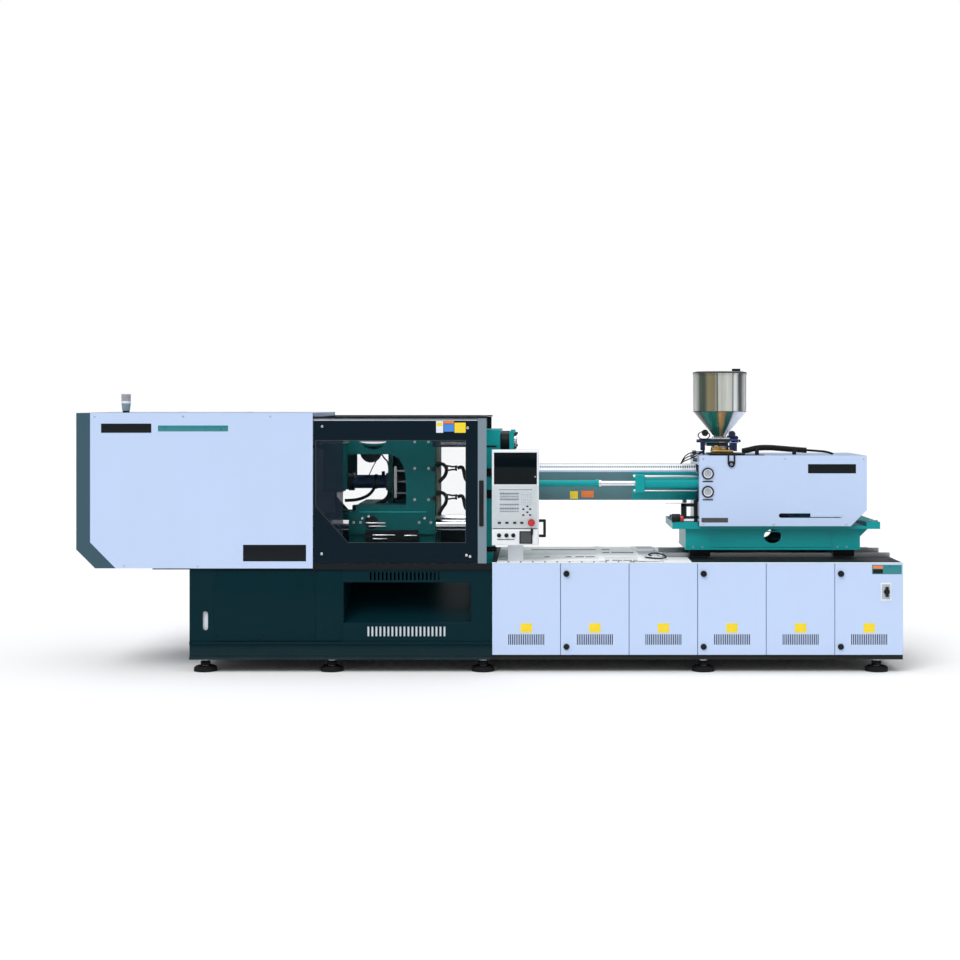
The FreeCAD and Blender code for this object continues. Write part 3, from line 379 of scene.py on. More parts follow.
def brushed_group():
    """Ground or brushed metal: fine lines along one direction, with faint stains."""
    group, given, place = new_group(
        "Brushed lines",
        [("Colour", "colour", (0.6, 0.6, 0.6, 1)), ("Lines", "vector", (4.0, 400.0, 400.0)),
         ("Roughness", "value", 0.3), ("Spread", "value", 0.2), ("Stain", "value", 0.15)])
    along = add_node(group, "ShaderNodeVectorMath", {0: place, 1: given["Lines"]}, operation="MULTIPLY").outputs[0]
    lines = noise(group, along, 1.0, 3.0, 0.6)
    stain = noise(group, place, 6.0, 5.0, 0.6)
    level = spread_value(group, 1.0, given["Stain"], blended(group, lines, stain, 0.5))
    rough = spread_value(group, given["Roughness"], given["Spread"], lines)
    return close_group(group, Colour=tinted(group, given["Colour"], level),
                       Roughness=plus(group, rough, times(group, stain, 0.08)), Height=lines)


def moulded_group():
    """Moulded plastic or rubber with a fine leather-like grain."""
    group, given, place = new_group(
        "Moulded grain",
        [("Colour", "colour", (0.03, 0.03, 0.03, 1)), ("Roughness", "value", 0.5), ("Grain", "value", 700.0)])
    cells = add_node(group, "ShaderNodeTexVoronoi", {"Vector": place, "Scale": given["Grain"]}).outputs["Distance"]
    slow = noise(group, place, 14.0, 4.0, 0.6)
    return close_group(group, Colour=tinted(group, given["Colour"], spread_value(group, 1.0, 0.2, slow)),
                       Roughness=spread_value(group, given["Roughness"], 0.2, slow), Height=cells)


def perforated_group():
    """Rows of small dark holes on a painted sheet, in X and Y."""
    group, given, place = new_group(
        "Perforation", [("Sheet", "colour", (0.7, 0.7, 0.7, 1)), ("Pitch", "value", 0.02), ("Hole", "value", 0.3)],
        [("Colour", "colour"), ("Height", "value")])
    parts = add_node(group, "ShaderNodeSeparateXYZ", {"Vector": place}).outputs
    squares = []
    for label in ("X", "Y"):
        cell = maths(group, "DIVIDE", parts[label], given["Pitch"])
        offset = maths(group, "SUBTRACT", maths(group, "FRACT", cell), 0.5)
        squares.append(times(group, offset, offset))
    reach = maths(group, "SQRT", plus(group, *squares))
    inside = maths(group, "LESS_THAN", reach, given["Hole"])
    return close_group(group, Colour=mixed(group, inside, given["Sheet"], (0.02, 0.025, 0.03, 1)),
                       Height=maths(group, "SUBTRACT", 1.0, inside))


def colour_ramp(tree, value, stops):
    """Steps of colour along a value from 0 to 1."""
    node = tree.nodes.new("ShaderNodeValToRGB")
    tree.links.new(value, node.inputs[0])
    ramp_points = node.color_ramp.elements
    while len(ramp_points) < len(stops):
        ramp_points.new(0.5)
    for point, (place, colour) in zip(ramp_points, stops):
        point.position = place
        point.color = (*colour, 1)
    return node.outputs["Color"]


# colours of the painted reflection on the polished hopper, by their place across it from left (0) to right (1)
BLACK_REFLECTION, GREEN_REFLECTION, OLIVE_REFLECTION = (0.06, 0.065, 0.06), (0.09, 0.115, 0.09), (0.25, 0.22, 0.12)
PALE_REFLECTION, BRIGHT_REFLECTION = (0.54, 0.55, 0.50), (0.80, 0.83, 0.84)
DRUM_REFLECTIONS = [
    (0.0, BRIGHT_REFLECTION), (0.04, PALE_REFLECTION), (0.09, GREEN_REFLECTION), (0.18, (0.06, 0.08, 0.065)), (0.24, OLIVE_REFLECTION),
    (0.34, (0.20, 0.17, 0.09)), (0.38, (0.30, 0.29, 0.24)), (0.405, BLACK_REFLECTION), (0.43, PALE_REFLECTION),
    (0.50, (0.46, 0.48, 0.42)), (0.58, (0.58, 0.59, 0.55)), (0.68, (0.50, 0.52, 0.46)), (0.705, (0.16, 0.17, 0.16)),
    (0.74, BRIGHT_REFLECTION), (0.79, (0.66, 0.69, 0.70)), (0.83, (0.08, 0.09, 0.085)), (0.87, (0.10, 0.11, 0.10)),
    (0.90, (0.36, 0.36, 0.34)), (0.96, BRIGHT_REFLECTION), (1.0, BLACK_REFLECTION)]
CONE_REFLECTIONS = [
    (0.0, BLACK_REFLECTION), (0.08, BLACK_REFLECTION), (0.12, (0.01, 0.17, 0.14)), (0.38, (0.01, 0.15, 0.12)), (0.41, BLACK_REFLECTION),
    (0.45, (0.36, 0.25, 0.13)), (0.56, (0.30, 0.20, 0.11)), (0.61, (0.02, 0.13, 0.11)), (0.71, (0.02, 0.12, 0.11)),
    (0.76, (0.85, 0.86, 0.93)), (0.95, (0.90, 0.90, 0.95)), (1.0, BLACK_REFLECTION)]


def reflection_band_group():
    """Painted reflection on polished steel turned round an upright axis: bands of mirrored colour that run up the drum
    and the cone.
    """
    group, given, place = new_group(
        "Painted reflection bands", [("Axis x", "value", HOPPER_X), ("Cone top", "value", 2.21), ("Roughness", "value", 0.2)])
    parts = add_node(group, "ShaderNodeSeparateXYZ", {"Vector": place}).outputs
    across = maths(group, "SUBTRACT", parts["X"], given["Axis x"])
    reach = maths(group, "SQRT", plus(group, times(group, across, across), times(group, parts["Y"], parts["Y"])))
    wave = noise(group, stretched(group, place, (9.0, 9.0, 0.7)), 1.0, 4.0)
    turn = spread_value(group, maths(group, "DIVIDE", across, reach), 0.12, wave)
    share = times(group, plus(group, turn, 1.0), 0.5, clamp=True)
    above = maths(group, "GREATER_THAN", parts["Z"], given["Cone top"])
    # painted reflection: one ramp of mirrored colours on the cone, another on the drum
    reflection_bands = mixed(group, above, colour_ramp(group, share, CONE_REFLECTIONS), colour_ramp(group, share, DRUM_REFLECTIONS))
    fine = noise(group, stretched(group, place, (240.0, 240.0, 4.0)), 1.0, 3.0)
    return close_group(group, Colour=tinted(group, reflection_bands, spread_value(group, 1.0, 0.45, fine)),
                       Roughness=spread_value(group, given["Roughness"], 0.15, fine), Height=fine)


# ---- materials ----------------------------------------------------------------------------------
MATERIALS = {}
GROUPS = {}


def start_material(name, **values):
    """A material with its shader and values, ready for a group."""
    material = bpy.data.materials.new(name)
    material.use_nodes = True
    shader = material.node_tree.nodes["Principled BSDF"]
    for key, value in values.items():
        shader.inputs[key.replace("_", " ")].default_value = value
    MATERIALS[name] = material
    return material.node_tree, shader


def place_group(tree, shader, group, values, bump, distance):
    """Lays a group's results on the shader, its height as a bump of some strength and depth."""
    node = tree.nodes.new("ShaderNodeGroup")
    node.node_tree = GROUPS[group]
    for key, value in values.items():
        node.inputs[key].default_value = value
    for key in ("Colour", "Roughness"):
        if key in node.outputs:
            tree.links.new(node.outputs[key], shader.inputs["Base Color" if key == "Colour" else key])
    bumps = add_node(tree, "ShaderNodeBump",
                     {"Strength": bump, "Distance": distance, "Height": node.outputs["Height"]})
    tree.links.new(bumps.outputs["Normal"], shader.inputs["Normal"])


def coat(name, colour, roughness=0.35, mottle=0.07, clear=0.15, dust=0.3, gloss=0.5):
    """Sprayed paint; clear is its lacquer, dust the height it reaches, gloss its mirror share."""
    tree, shader = start_material(name, Coat_Weight=clear, Coat_Roughness=0.18, Specular_IOR_Level=gloss)
    place_group(tree, shader, "Sprayed coat",
                {"Colour": (*colour, 1), "Mottle": mottle, "Roughness": roughness, "Spread": 0.12,
                 "Dust height": dust}, 0.12, 0.0006)


def casting(name, colour, roughness=0.32, clear=0.1):
    """Enamelled casting."""
    tree, shader = start_material(name, Coat_Weight=clear, Coat_Roughness=0.2, Specular_IOR_Level=0.15)
    place_group(tree, shader, "Cast skin", {"Colour": (*colour, 1), "Roughness": roughness}, 0.35, 0.0015)


def metal(name, colour, roughness, lines, spread=0.2, stain=0.15, bump=0.1):
    """Bare metal; lines says how fine its grinding is along each axis."""
    tree, shader = start_material(name, Metallic=1.0)
    place_group(tree, shader, "Brushed lines",
                {"Colour": (*colour, 1), "Roughness": roughness, "Lines": lines, "Spread": spread, "Stain": stain},
                bump, 0.0004)


def moulded(name, colour, roughness=0.45, clear=0.0, bump=0.15, gloss=0.4):
    """Moulded plastic or rubber."""
    tree, shader = start_material(name, Coat_Weight=clear, Coat_Roughness=0.08, Specular_IOR_Level=gloss)
    place_group(tree, shader, "Moulded grain", {"Colour": (*colour, 1), "Roughness": roughness}, bump, 0.0004)


def clear_sheet(name, colour, roughness, cover):
    """See-through plastic with faint wipe marks; cover is the share of its own colour that shows."""
    tree, shader = start_material(name, Base_Color=(*colour, 1), Roughness=roughness, Alpha=cover,
                                  Specular_IOR_Level=0.1)
    place = tree.nodes.new("ShaderNodeTexCoord").outputs["Object"]
    marks = noise(tree, place, 5.0, 6.0, 0.7)
    tree.links.new(spread_value(tree, roughness, roughness, marks), shader.inputs["Roughness"])


def make_materials(colours):
    """Every finish, some in the colours of the settings."""
    for build in (coat_group, cast_group, brushed_group, moulded_group, perforated_group, reflection_band_group):
        group = build()
        GROUPS[group.name] = group
    coat("cover_paint", colours.cover, roughness=0.33, clear=0.25)
    coat("trim_paint", colours.trim, roughness=0.38, clear=0.05, gloss=0.2)
    coat("base_paint", colours.base, roughness=0.30, mottle=0.3, clear=0.0, gloss=0.06)
    coat("black_paint", colours.black, roughness=0.34, clear=0.0, gloss=0.1)
    coat("guard_paint", colours.guard, roughness=0.35, clear=0.05, gloss=0.25, mottle=0.2)
    coat("blue_paint", colours.blue, roughness=0.28, clear=0.05, gloss=0.2)
    coat("panel_paint", colours.panel, roughness=0.36)
    coat("gate_border", colours.gate, roughness=0.30, clear=0.0, gloss=0.06, mottle=0.5)
    coat("strip_paint", colours.strip, roughness=0.40)
    coat("screen_navy", (0.004, 0.012, 0.045), roughness=0.35, gloss=0.3)
    casting("casting_paint", colours.casting)
    # painted shade: the casting enamel darkened to about a third, for the parts that stand in shade behind the gates
    casting("shaded_casting", (0.0, 0.085, 0.088), roughness=0.4, clear=0.0)
    casting("link_casting", (0.012, 0.045, 0.055), roughness=0.42, clear=0.0)
    metal("ground_chrome", (0.80, 0.81, 0.83), 0.10, (2.0, 160.0, 160.0), spread=0.08, stain=0.05, bump=0.03)
    metal("machined_steel", (0.42, 0.43, 0.45), 0.28, (120.0, 6.0, 120.0))
    metal("zinc_sheet", (0.60, 0.63, 0.68), 0.30, (3.0, 220.0, 220.0), stain=0.25)
    # the hopper's colour is painted reflection: bands of mirrored colour round its drum and cone
    tree, shader = start_material("hopper_steel", Metallic=0.25)
    place_group(tree, shader, "Painted reflection bands", {"Roughness": 0.2}, 0.05, 0.0004)
    metal("rim_steel", (0.10, 0.10, 0.11), 0.35, (60.0, 60.0, 900.0))
    coat("pale_sheet", (0.93, 0.95, 0.96), roughness=0.4, clear=0.0, mottle=0.03, dust=0.0)
    metal("brass", (0.62, 0.42, 0.16), 0.25, (150.0, 150.0, 10.0))
    metal("bright_screw", (0.70, 0.70, 0.72), 0.22, (300.0, 300.0, 300.0))
    moulded("black_plastic", (0.008, 0.009, 0.010), gloss=0.2)
    moulded("black_rubber", (0.008, 0.008, 0.009), roughness=0.62, bump=0.3, gloss=0.15)
    moulded("grey_plastic", (0.40, 0.44, 0.50), roughness=0.4)
    moulded("key_grey", (0.52, 0.56, 0.58), roughness=0.4)
    moulded("pale_plastic", (0.72, 0.76, 0.80), roughness=0.4)
    moulded("red_plastic", (0.45, 0.006, 0.010), roughness=0.25, clear=0.5)
    moulded("yellow_plastic", (0.83, 0.62, 0.02), roughness=0.35, clear=0.2)
    moulded("orange_plastic", (0.78, 0.19, 0.04), roughness=0.35, clear=0.2)
    moulded("sky_plastic", (0.05, 0.22, 0.62), roughness=0.35, clear=0.2)
    moulded("grey_teal", (0.20, 0.27, 0.29), roughness=0.35, clear=0.2)
    moulded("olive_grey", (0.10, 0.115, 0.09), roughness=0.45)
    moulded("dark_grey", (0.055, 0.060, 0.064), roughness=0.4)
    moulded("grip_blue", (0.012, 0.035, 0.22), roughness=0.35, clear=0.2)
    moulded("teal_plastic", (0.02, 0.20, 0.22), roughness=0.3, clear=0.3)
    moulded("screen_black", (0.002, 0.005, 0.007), roughness=0.08, bump=0.0, gloss=0.12)
    tree, shader = start_material("perforated_sheet", Roughness=0.38)
    place_group(tree, shader, "Perforation", {"Sheet": (0.88, 0.92, 0.95, 1)}, 0.6, 0.002)
    clear_sheet("gate_glass", (0.02, 0.04, 0.05), 0.05, 0.03)
    clear_sheet("dark_film", (0.006, 0.012, 0.022), 0.12, 0.62)
    clear_sheet("lamp_glass", (0.42, 0.42, 0.44), 0.15, 0.85)


NODE_FINISH = {
    "cover_paint": ["clamp_front_cover", "clamp_rear_cover", "back_panels", "injection_cover"]
                   + ["door_%d" % i for i in range(1, 7)],
    "trim_paint": ["clamp_end_cover"],
    "base_paint": ["clamp_base"],
    "casting_paint": ["fixed_platen", "carriage_base", "carriage_cylinders"],
    # the moving platen, rear platen and shoes get the painted-shade copy of the casting enamel
    "shaded_casting": ["moving_platen", "rear_platen", "platen_shoes"],
    "link_casting": ["crosshead"] + [side + "_" + kind for side in ("upper", "lower")
                                     for kind in ("rear_links", "front_links", "crosshead_links")],
    "black_paint": ["gate_frame", "rear_gate", "injection_bed", "control_arm", "tie_bar_nuts"],
    "guard_paint": ["barrel_guard"],
    "strip_paint": ["front_gate"],
    "blue_paint": ["ejector_cylinder", "clamp_cylinder", "pump_motor", "screw_drive"],
    "grip_blue": ["hopper_shutoff"],
    "ground_chrome": ["tie_bars", "pull_rods", "clamp_piston", "screw"],
    "machined_steel": ["slideways", "rear_pivot_pins", "upper_elbow_pins", "lower_elbow_pins",
                       "ejector", "carriage_rails", "barrel", "feed_throat"],
    "pale_sheet": ["bed_covers"],
    "hopper_steel": ["hopper"],
    "rim_steel": ["hopper_lid"],
    "black_rubber": ["levelling_feet"],
    "black_plastic": ["breaker_handle"] + ["door_lock_%d" % i for i in (2, 4, 6)],
    "panel_paint": ["control_box"],
    "red_plastic": ["emergency_button"],
    "gate_glass": ["front_gate_window"],
}


def paint_nodes():
    """Gives every carried-over part its finish."""
    for finish, names in NODE_FINISH.items():
        for name in names:
            for slot in NODES[name].material_slots:
                slot.material = MATERIALS[finish]


# ---- pieces of the clamp end --------------------------------------------------------------------
def base_panels():
    """Bolted sheets with thin gaps on both long sides of the base, a lip along the ledge, screws, and pale backs behind
    the hand slot and the vents.
    """
    low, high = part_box("clamp_base")
    edges = (-2.336, -1.478, -1.252)
    for side, label in ((FRONT, "front"), (REAR, "rear")):
        y0, y1 = both_depths(side, BASE_SKIN, BASE_SKIN + 0.004)
        sheets = [((x0 + 0.003, y0, 0.266), (x1 - 0.003, y1, 0.868)) for x0, x1 in zip(edges, edges[1:])]
        blocks("base_sheets_" + label, sheets, "base_paint", "machine", 0.001)
        ledge = ((low.x, y0 - 0.006 if side < 0 else y0, 0.238), (high.x, y1 if side < 0 else y1 + 0.006, 0.243))
        blocks("base_ledge_lip_" + label, [ledge], "base_paint", "machine", 0.0005)
        screws = bmesh.new()
        for x in (-2.31, -1.92, -1.51):
            for z in (0.31, 0.83):
                socket_screw(screws, (x, side * (BASE_SKIN + 0.004), z), side, sizes().screw)
        piece("base_screws_" + label, screws, "black_paint", "machine")
    blocks("base_slot_liner", [((-2.450, -0.752, 0.33), (-2.380, -0.748, 0.55))], "pale_plastic", "machine",
           0)
    blocks("base_vent_backs", [((-1.060, -BASE_SKIN + 0.0062, 0.296), (-0.350, -BASE_SKIN + 0.0082, 0.398))],
           "pale_plastic", "machine",
           0)


def cover_marks():
    """Plain bars where the cover carries print, seam strips and screws."""
    y = -COVER_SKIN
    for part, finish, (x0, x1), (z0, z1) in (("dark", "black_paint", (-3.294, -2.868), (2.034, 2.112)),
                                             ("teal", "teal_plastic", (-2.812, -2.218), (2.046, 2.096)),
                                             ("large", "black_paint", (-2.091, -1.557), (0.945, 1.085))):
        blocks("cover_bar_" + part, [((x0, y - 0.0012, z0), (x1, y, z1))], finish, "machine", PRINT)
    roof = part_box("clamp_front_cover")[1].z
    seams = [((-3.387, -0.004, roof), (-1.501, 0.004, roof + 0.002))]
    seams += [((x, -0.80, roof), (x + 0.03, 0.80, roof + 0.002)) for x in (-2.92, -2.30)]
    blocks("roof_seams", seams, "cover_paint", "machine", 0.0005)
    louvres = [((x, COVER_SKIN, 1.30 + row * 0.045), (x + 0.50, COVER_SKIN + 0.01, 1.314 + row * 0.045))
               for row in range(9) for x in (-3.10, -2.30)]
    blocks("rear_cover_louvres", louvres, "cover_paint", "machine", 0.004)
    screws = bmesh.new()
    for side in SIDES:
        for x in (-3.35, -2.60, -1.86):
            socket_screw(screws, (x, side * COVER_SKIN, 2.175), side, sizes().screw)
        for x in (-3.10, -2.48):
            socket_screw(screws, (x, side * COVER_SKIN, 0.91), side, sizes().screw)
    piece("cover_screws", screws, "bright_screw", "machine")


def beacon():
    """Signal lamp: foot, lower body, pale ring, core and ribbed lens."""
    x, y = -3.201, -0.30
    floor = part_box("clamp_front_cover")[1].z
    for part, finish, slot, height, radius, depth, top, sides in (
            ("foot", "black_plastic", "black_plastic", 0.008, 0.030, 0.016, None, 32),
            ("body", "grey_teal", "box_paint", 0.048, 0.033, 0.064, 0.040, 32),
            ("ring", "pale_plastic", "box_paint", 0.090, 0.0405, 0.020, None, 32),
            ("core", "grey_plastic", "box_paint", 0.130, 0.026, 0.056, None, 24)):
        bm = bmesh.new()
        drum(bm, (x, y, floor + height), "z", radius, depth, sides, top)
        piece("beacon_" + part, bm, finish, "machine")
    lens = bmesh.new()
    drum(lens, (x, y, floor + 0.132), "z", 0.0395, 0.062, 32)
    for height in (0.108, 0.122, 0.136, 0.150):
        ring(lens, (x, y, floor + height), "z", 0.0415, 0.0385, 0.006)
    piece("beacon_lens", lens, "lamp_glass", "machine")


def front_gate_parts():
    """Dark border, films, top strip, corner screws, grip and plain label fields of the front gate."""
    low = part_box("front_gate")[0]
    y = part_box("front_gate_window")[0].y
    border = bmesh.new()
    cut_plate(border,
              [(low.x + 0.002, low.z + 0.002), (-0.104, low.z + 0.002), (-0.104, 2.136), (low.x + 0.002, 2.136)],
              [(-1.478, 1.408), (-1.203, 1.102), (-0.205, 1.102), (-0.205, 1.970), (-1.478, 1.970)], y - 0.0008,
              y - 0.0002)
    piece("gate_border", border, "gate_border", "front_gate")
    film = bmesh.new()
    cut_film = [(-1.478, 1.408), (-1.245, 1.149), (-1.245, 1.970), (-1.478, 1.970)]
    thicken(film, [film.faces.new([film.verts.new((x, y - 0.0007, z)) for x, z in cut_film])], (0, 0.0004, 0))
    block(film, (-0.490, y - 0.0007, 1.913), (-0.205, y - 0.0003, 1.970), 0)
    piece("gate_films", film, "dark_film", "front_gate")
    rim = bmesh.new()
    cut_plate(rim, [(-1.479, 1.4085), (-1.2034, 1.101), (-0.204, 1.101), (-0.204, 1.971), (-1.479, 1.971)],
              [(-1.476, 1.4085), (-1.2020, 1.104), (-0.207, 1.104), (-0.207, 1.968), (-1.476, 1.968)], y - 0.0016,
              y - 0.0008)
    piece("gate_window_rim", rim, "dark_grey", "front_gate")
    blocks("gate_top_strip", [((low.x, y - 0.004, 2.136), (-0.104, y, 2.146))], "zinc_sheet", "front_gate",
           0.001)
    screws = bmesh.new()
    for x, z in ((-1.424, 2.088), (-0.189, 2.075), (-1.427, 1.007), (-0.199, 0.995), (-0.168, 0.983)):
        socket_screw(screws, (x, y - 0.0008, z), FRONT, 0.012)
    piece("gate_screws", screws, "bright_screw", "front_gate")
    grip = bmesh.new()
    drum(grip, (-0.072, y - 0.001, 1.435), "z", 0.0175, 0.385, 24, bevel=0.012)
    piece("gate_grip", grip, "black_plastic", "front_gate")
    fields = {"pale_plastic": [((-0.456, -0.396), (2.034, 2.134))],
              "orange_plastic": [((-0.392, -0.304), (2.112, 2.134))],
              "sky_plastic": [((-0.392, -0.304), (2.044, 2.108))],
              "yellow_plastic": [((-0.300, -0.205), (2.034, 2.120)), ((-0.450, -0.404), (2.090, 2.120))]}
    for colour, spots in fields.items():
        deep = 0.0022 if colour == "yellow_plastic" else 0.0016
        pairs = [((x0, y - deep, z0), (x1, y - 0.0008, z1)) for (x0, x1), (z0, z1) in spots]
        blocks("gate_field_" + colour, pairs, colour, "front_gate", 0.0002)


def rear_gate_parts():
    """Clear pane and corner screws of the rear gate."""
    blocks("rear_gate_pane", [((-1.485, 0.7805, 1.09), (-0.195, 0.7845, 1.98))], "gate_glass", "rear_gate",
           0.001)
    screws = bmesh.new()
    for x in (-1.46, -0.83, -0.21):
        for z in (1.965, 1.105):
            socket_screw(screws, (x, 0.7845, z), REAR, sizes().screw)
    piece("rear_gate_screws", screws, "bright_screw", "rear_gate")


def platen_bolts():
    """Hexagon bolts on the fixed platen, and lock blocks on its flanks."""
    keepers, hub, flank = bmesh.new(), bmesh.new(), bmesh.new()
    for y in (-0.440, -0.290, 0.290, 0.440):
        for z in (2.010, 1.900, 1.270, 1.160):
            hex_bolt(keepers, (0.200, y, z), "x", sizes().bolt * 0.6, 0.022)
    for y in (-0.200, 0.200):
        for z in (1.525, 1.645):
            hex_bolt(hub, (0.190, y, z), "x", sizes().bolt * 0.7, 0.024)
    for side in SIDES:
        y0, y1 = both_depths(side, 0.467, 0.474)
        for z0, z1 in ((1.648, 1.720), (1.460, 1.533), (1.000, 1.043), (1.905, 1.918)):
            block(flank, (-0.060, y0, z0), (0.050, y1, z1), 0.002)
    piece("keeper_bolts", keepers, "black_paint", "machine")
    piece("hub_bolts", hub, "machined_steel", "machine")
    piece("platen_lock_blocks", flank, "black_paint", "machine")


def moving_platen_fittings():
    """Bolts, black pieces of painted shade in the openings, tell-tale pipes, a painted highlight along the beam's edge,
    and guide on the moving platen.
    """
    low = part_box("moving_platen")[0]
    bm = bmesh.new()
    for x in (-1.19, -1.13, -0.62, -0.52):
        block(bm, (x - 0.011, low.y - 0.014, 1.240), (x + 0.011, low.y, 1.262), 0.002)
    for x in (-0.66, -0.54):
        for z in (1.95, 1.72, 1.45):
            drum(bm, (x, low.y - 0.006, z), "y", 0.013, 0.012, 6)
    piece("moving_platen_bolts", bm, "machined_steel", "moving_platen")
    # painted shade: a black plate behind the side opening, a black disc over the round hole, black strips in the gap
    # under the lower beam and a black disc in its notch, with a small black block by the guide
    dark = bmesh.new()
    block(dark, (-0.925, 0.395, 1.380), (-0.715, 0.412, 1.838), 0.002)
    block(dark, (-1.220, -0.300, 1.3455), (-1.150, -0.200, 1.390), 0.004)
    drum(dark, (-1.060, -0.260, 1.858), "y", 0.095, 0.040, 32, bevel=0.006)
    block(dark, (-1.088, -0.472, 1.087), (-0.627, -0.466, 1.146), 0.002)
    block(dark, (-1.088, -0.4715, 1.140), (-0.627, -0.4660, 1.187), 0.002)
    drum(dark, (-1.034, -0.4685, 1.252), "y", 0.060, 0.005, 32, bevel=0.001)
    piece("platen_shade_pieces", dark, "black_paint", "moving_platen")
    pipes = bmesh.new()
    for x0, x1, z, r in ((-1.085, -0.915, 1.247, 0.006), (-1.060, -0.910, 1.219, 0.005), (-1.023, -0.832, 1.142, 0.007),
                         (-1.023, -0.900, 1.110, 0.005), (-0.748, -0.640, 1.138, 0.006)):
        drum(pipes, ((x0 + x1) / 2, -0.476, z), "x", r, x1 - x0, 12)
    for x, z in ((-1.115, 1.288), (-1.060, 1.305), (-0.575, 1.290)):
        drum(pipes, (x, -0.470, z), "y", 0.011, 0.010, 16)
    piece("platen_pipes", pipes, "bright_screw", "moving_platen")
    # painted highlight: a thin strip in the lit casting enamel along the top edge of the lower beam
    blocks("platen_edge_highlight", [((-1.140, -0.4705, 1.338), (-0.560, -0.4660, 1.347))], "casting_paint", "moving_platen",
           0.001)
    blocks("platen_guide", [((-1.150, -0.320, 1.3455), (-0.780, -0.240, 1.402))], "shaded_casting", "moving_platen",
           0.004)


def ejector_fittings():
    """Bands, ports, cables and hoses of the ejector cylinder."""
    low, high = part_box("ejector_cylinder")
    bm = bmesh.new()
    for x in (low.x + 0.045, high.x - 0.055):
        drum(bm, (x, -0.02, high.z - 0.008), "z", 0.017, 0.05, 6)
    ring(bm, (high.x - 0.12, 0, SCREW_LINE), "x", 0.066, 0.058, 0.022)
    ring(bm, (low.x + 0.05, 0, SCREW_LINE), "x", 0.080, 0.058, 0.05)
    piece("ejector_bands", bm, "black_paint", "moving_platen")
    z = high.z
    hose("ejector_cable_left",
         [(-1.10, -0.03, z - 0.02), (-1.07, -0.04, z + 0.05), (-1.01, -0.05, z + 0.15), (-0.99, -0.06, z + 0.19)],
         0.0045, "moving_platen")
    hose("ejector_cable_right",
         [(-0.99, -0.06, z + 0.18), (-0.96, -0.06, z + 0.13), (-0.93, -0.06, z + 0.11), (-0.915, -0.06, z + 0.02),
          (-0.93, -0.04, z - 0.03)],
         0.007, "moving_platen")
    hose("ejector_hose",
         [(-1.30, -0.16, 1.425), (-1.22, -0.16, 1.425), (-1.14, -0.15, 1.445), (-1.07, -0.12, 1.485),
          (-1.05, -0.06, 1.53)],
         0.014, "moving_platen")
    hose("ejector_hose_low",
         [(-1.06, -0.20, 1.355), (-1.00, -0.20, 1.40), (-0.93, -0.18, 1.43), (-0.90, -0.14, 1.49),
          (-0.915, -0.06, 1.53)],
         0.020, "moving_platen")


def mould_hoses():
    """Two hose sets across the mould space: loops on the moving side, drops on the fixed side."""
    low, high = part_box("moving_platen")
    face, front = high.x, low.y
    blocks("mould_slab", [((face, -0.43, 1.30), (face + 0.042, -0.30, 1.95))], "olive_grey", "moving_platen",
           0.003)
    hubs = bmesh.new()
    for n, z in enumerate((1.714, 1.464)):
        drum(hubs, (face - 0.012, front - 0.010, z), "y", 0.020, 0.020, 24)
        drum(hubs, (face + 0.020, -0.44, z + 0.03), "y", 0.016, 0.020, 12)
        top, foot = z + 0.045, z - 0.115 - 0.03 * n
        hose("mould_loop_%d" % (n + 1),
             [(face + 0.010, -0.445, top), (face + 0.055, -0.446, top + 0.008), (face + 0.100, -0.445, z + 0.01),
              (face + 0.090, -0.444, z - 0.05), (face + 0.055, -0.443, z - 0.09), (face + 0.030, -0.442, foot)],
             sizes().hose, "moving_platen")
        for kind, drops in (("", (0.030, 0.026, 0.017, 0.026)), ("low_", (-0.012, -0.012, -0.002, -0.010))):
            route = [(face + x, -0.446, z + dz) for x, dz in zip((0.085, 0.12, 0.155, 0.188), drops)]
            hose("mould_lead_%s%d" % (kind, n + 1), route, 0.0075, "moving_platen")
        hose("mould_drop_%d" % (n + 1),
             [(-0.292, -0.42, z + 0.006), (-0.255, -0.42, z + 0.024), (-0.238, -0.42, z - 0.01),
              (-0.228, -0.42, z - 0.08),
              (-0.205, -0.42, z - 0.11), (-0.122, -0.42, z - 0.11)],
             sizes().hose, "machine")
        drum(hubs, (face + 0.097, -0.446, z + 0.010), "x", 0.024, 0.024, 8)
        drum(hubs, (face + 0.178, -0.446, z + 0.008), "x", 0.021, 0.016, 8)
    piece("mould_hubs", hubs, "black_plastic", "moving_platen")


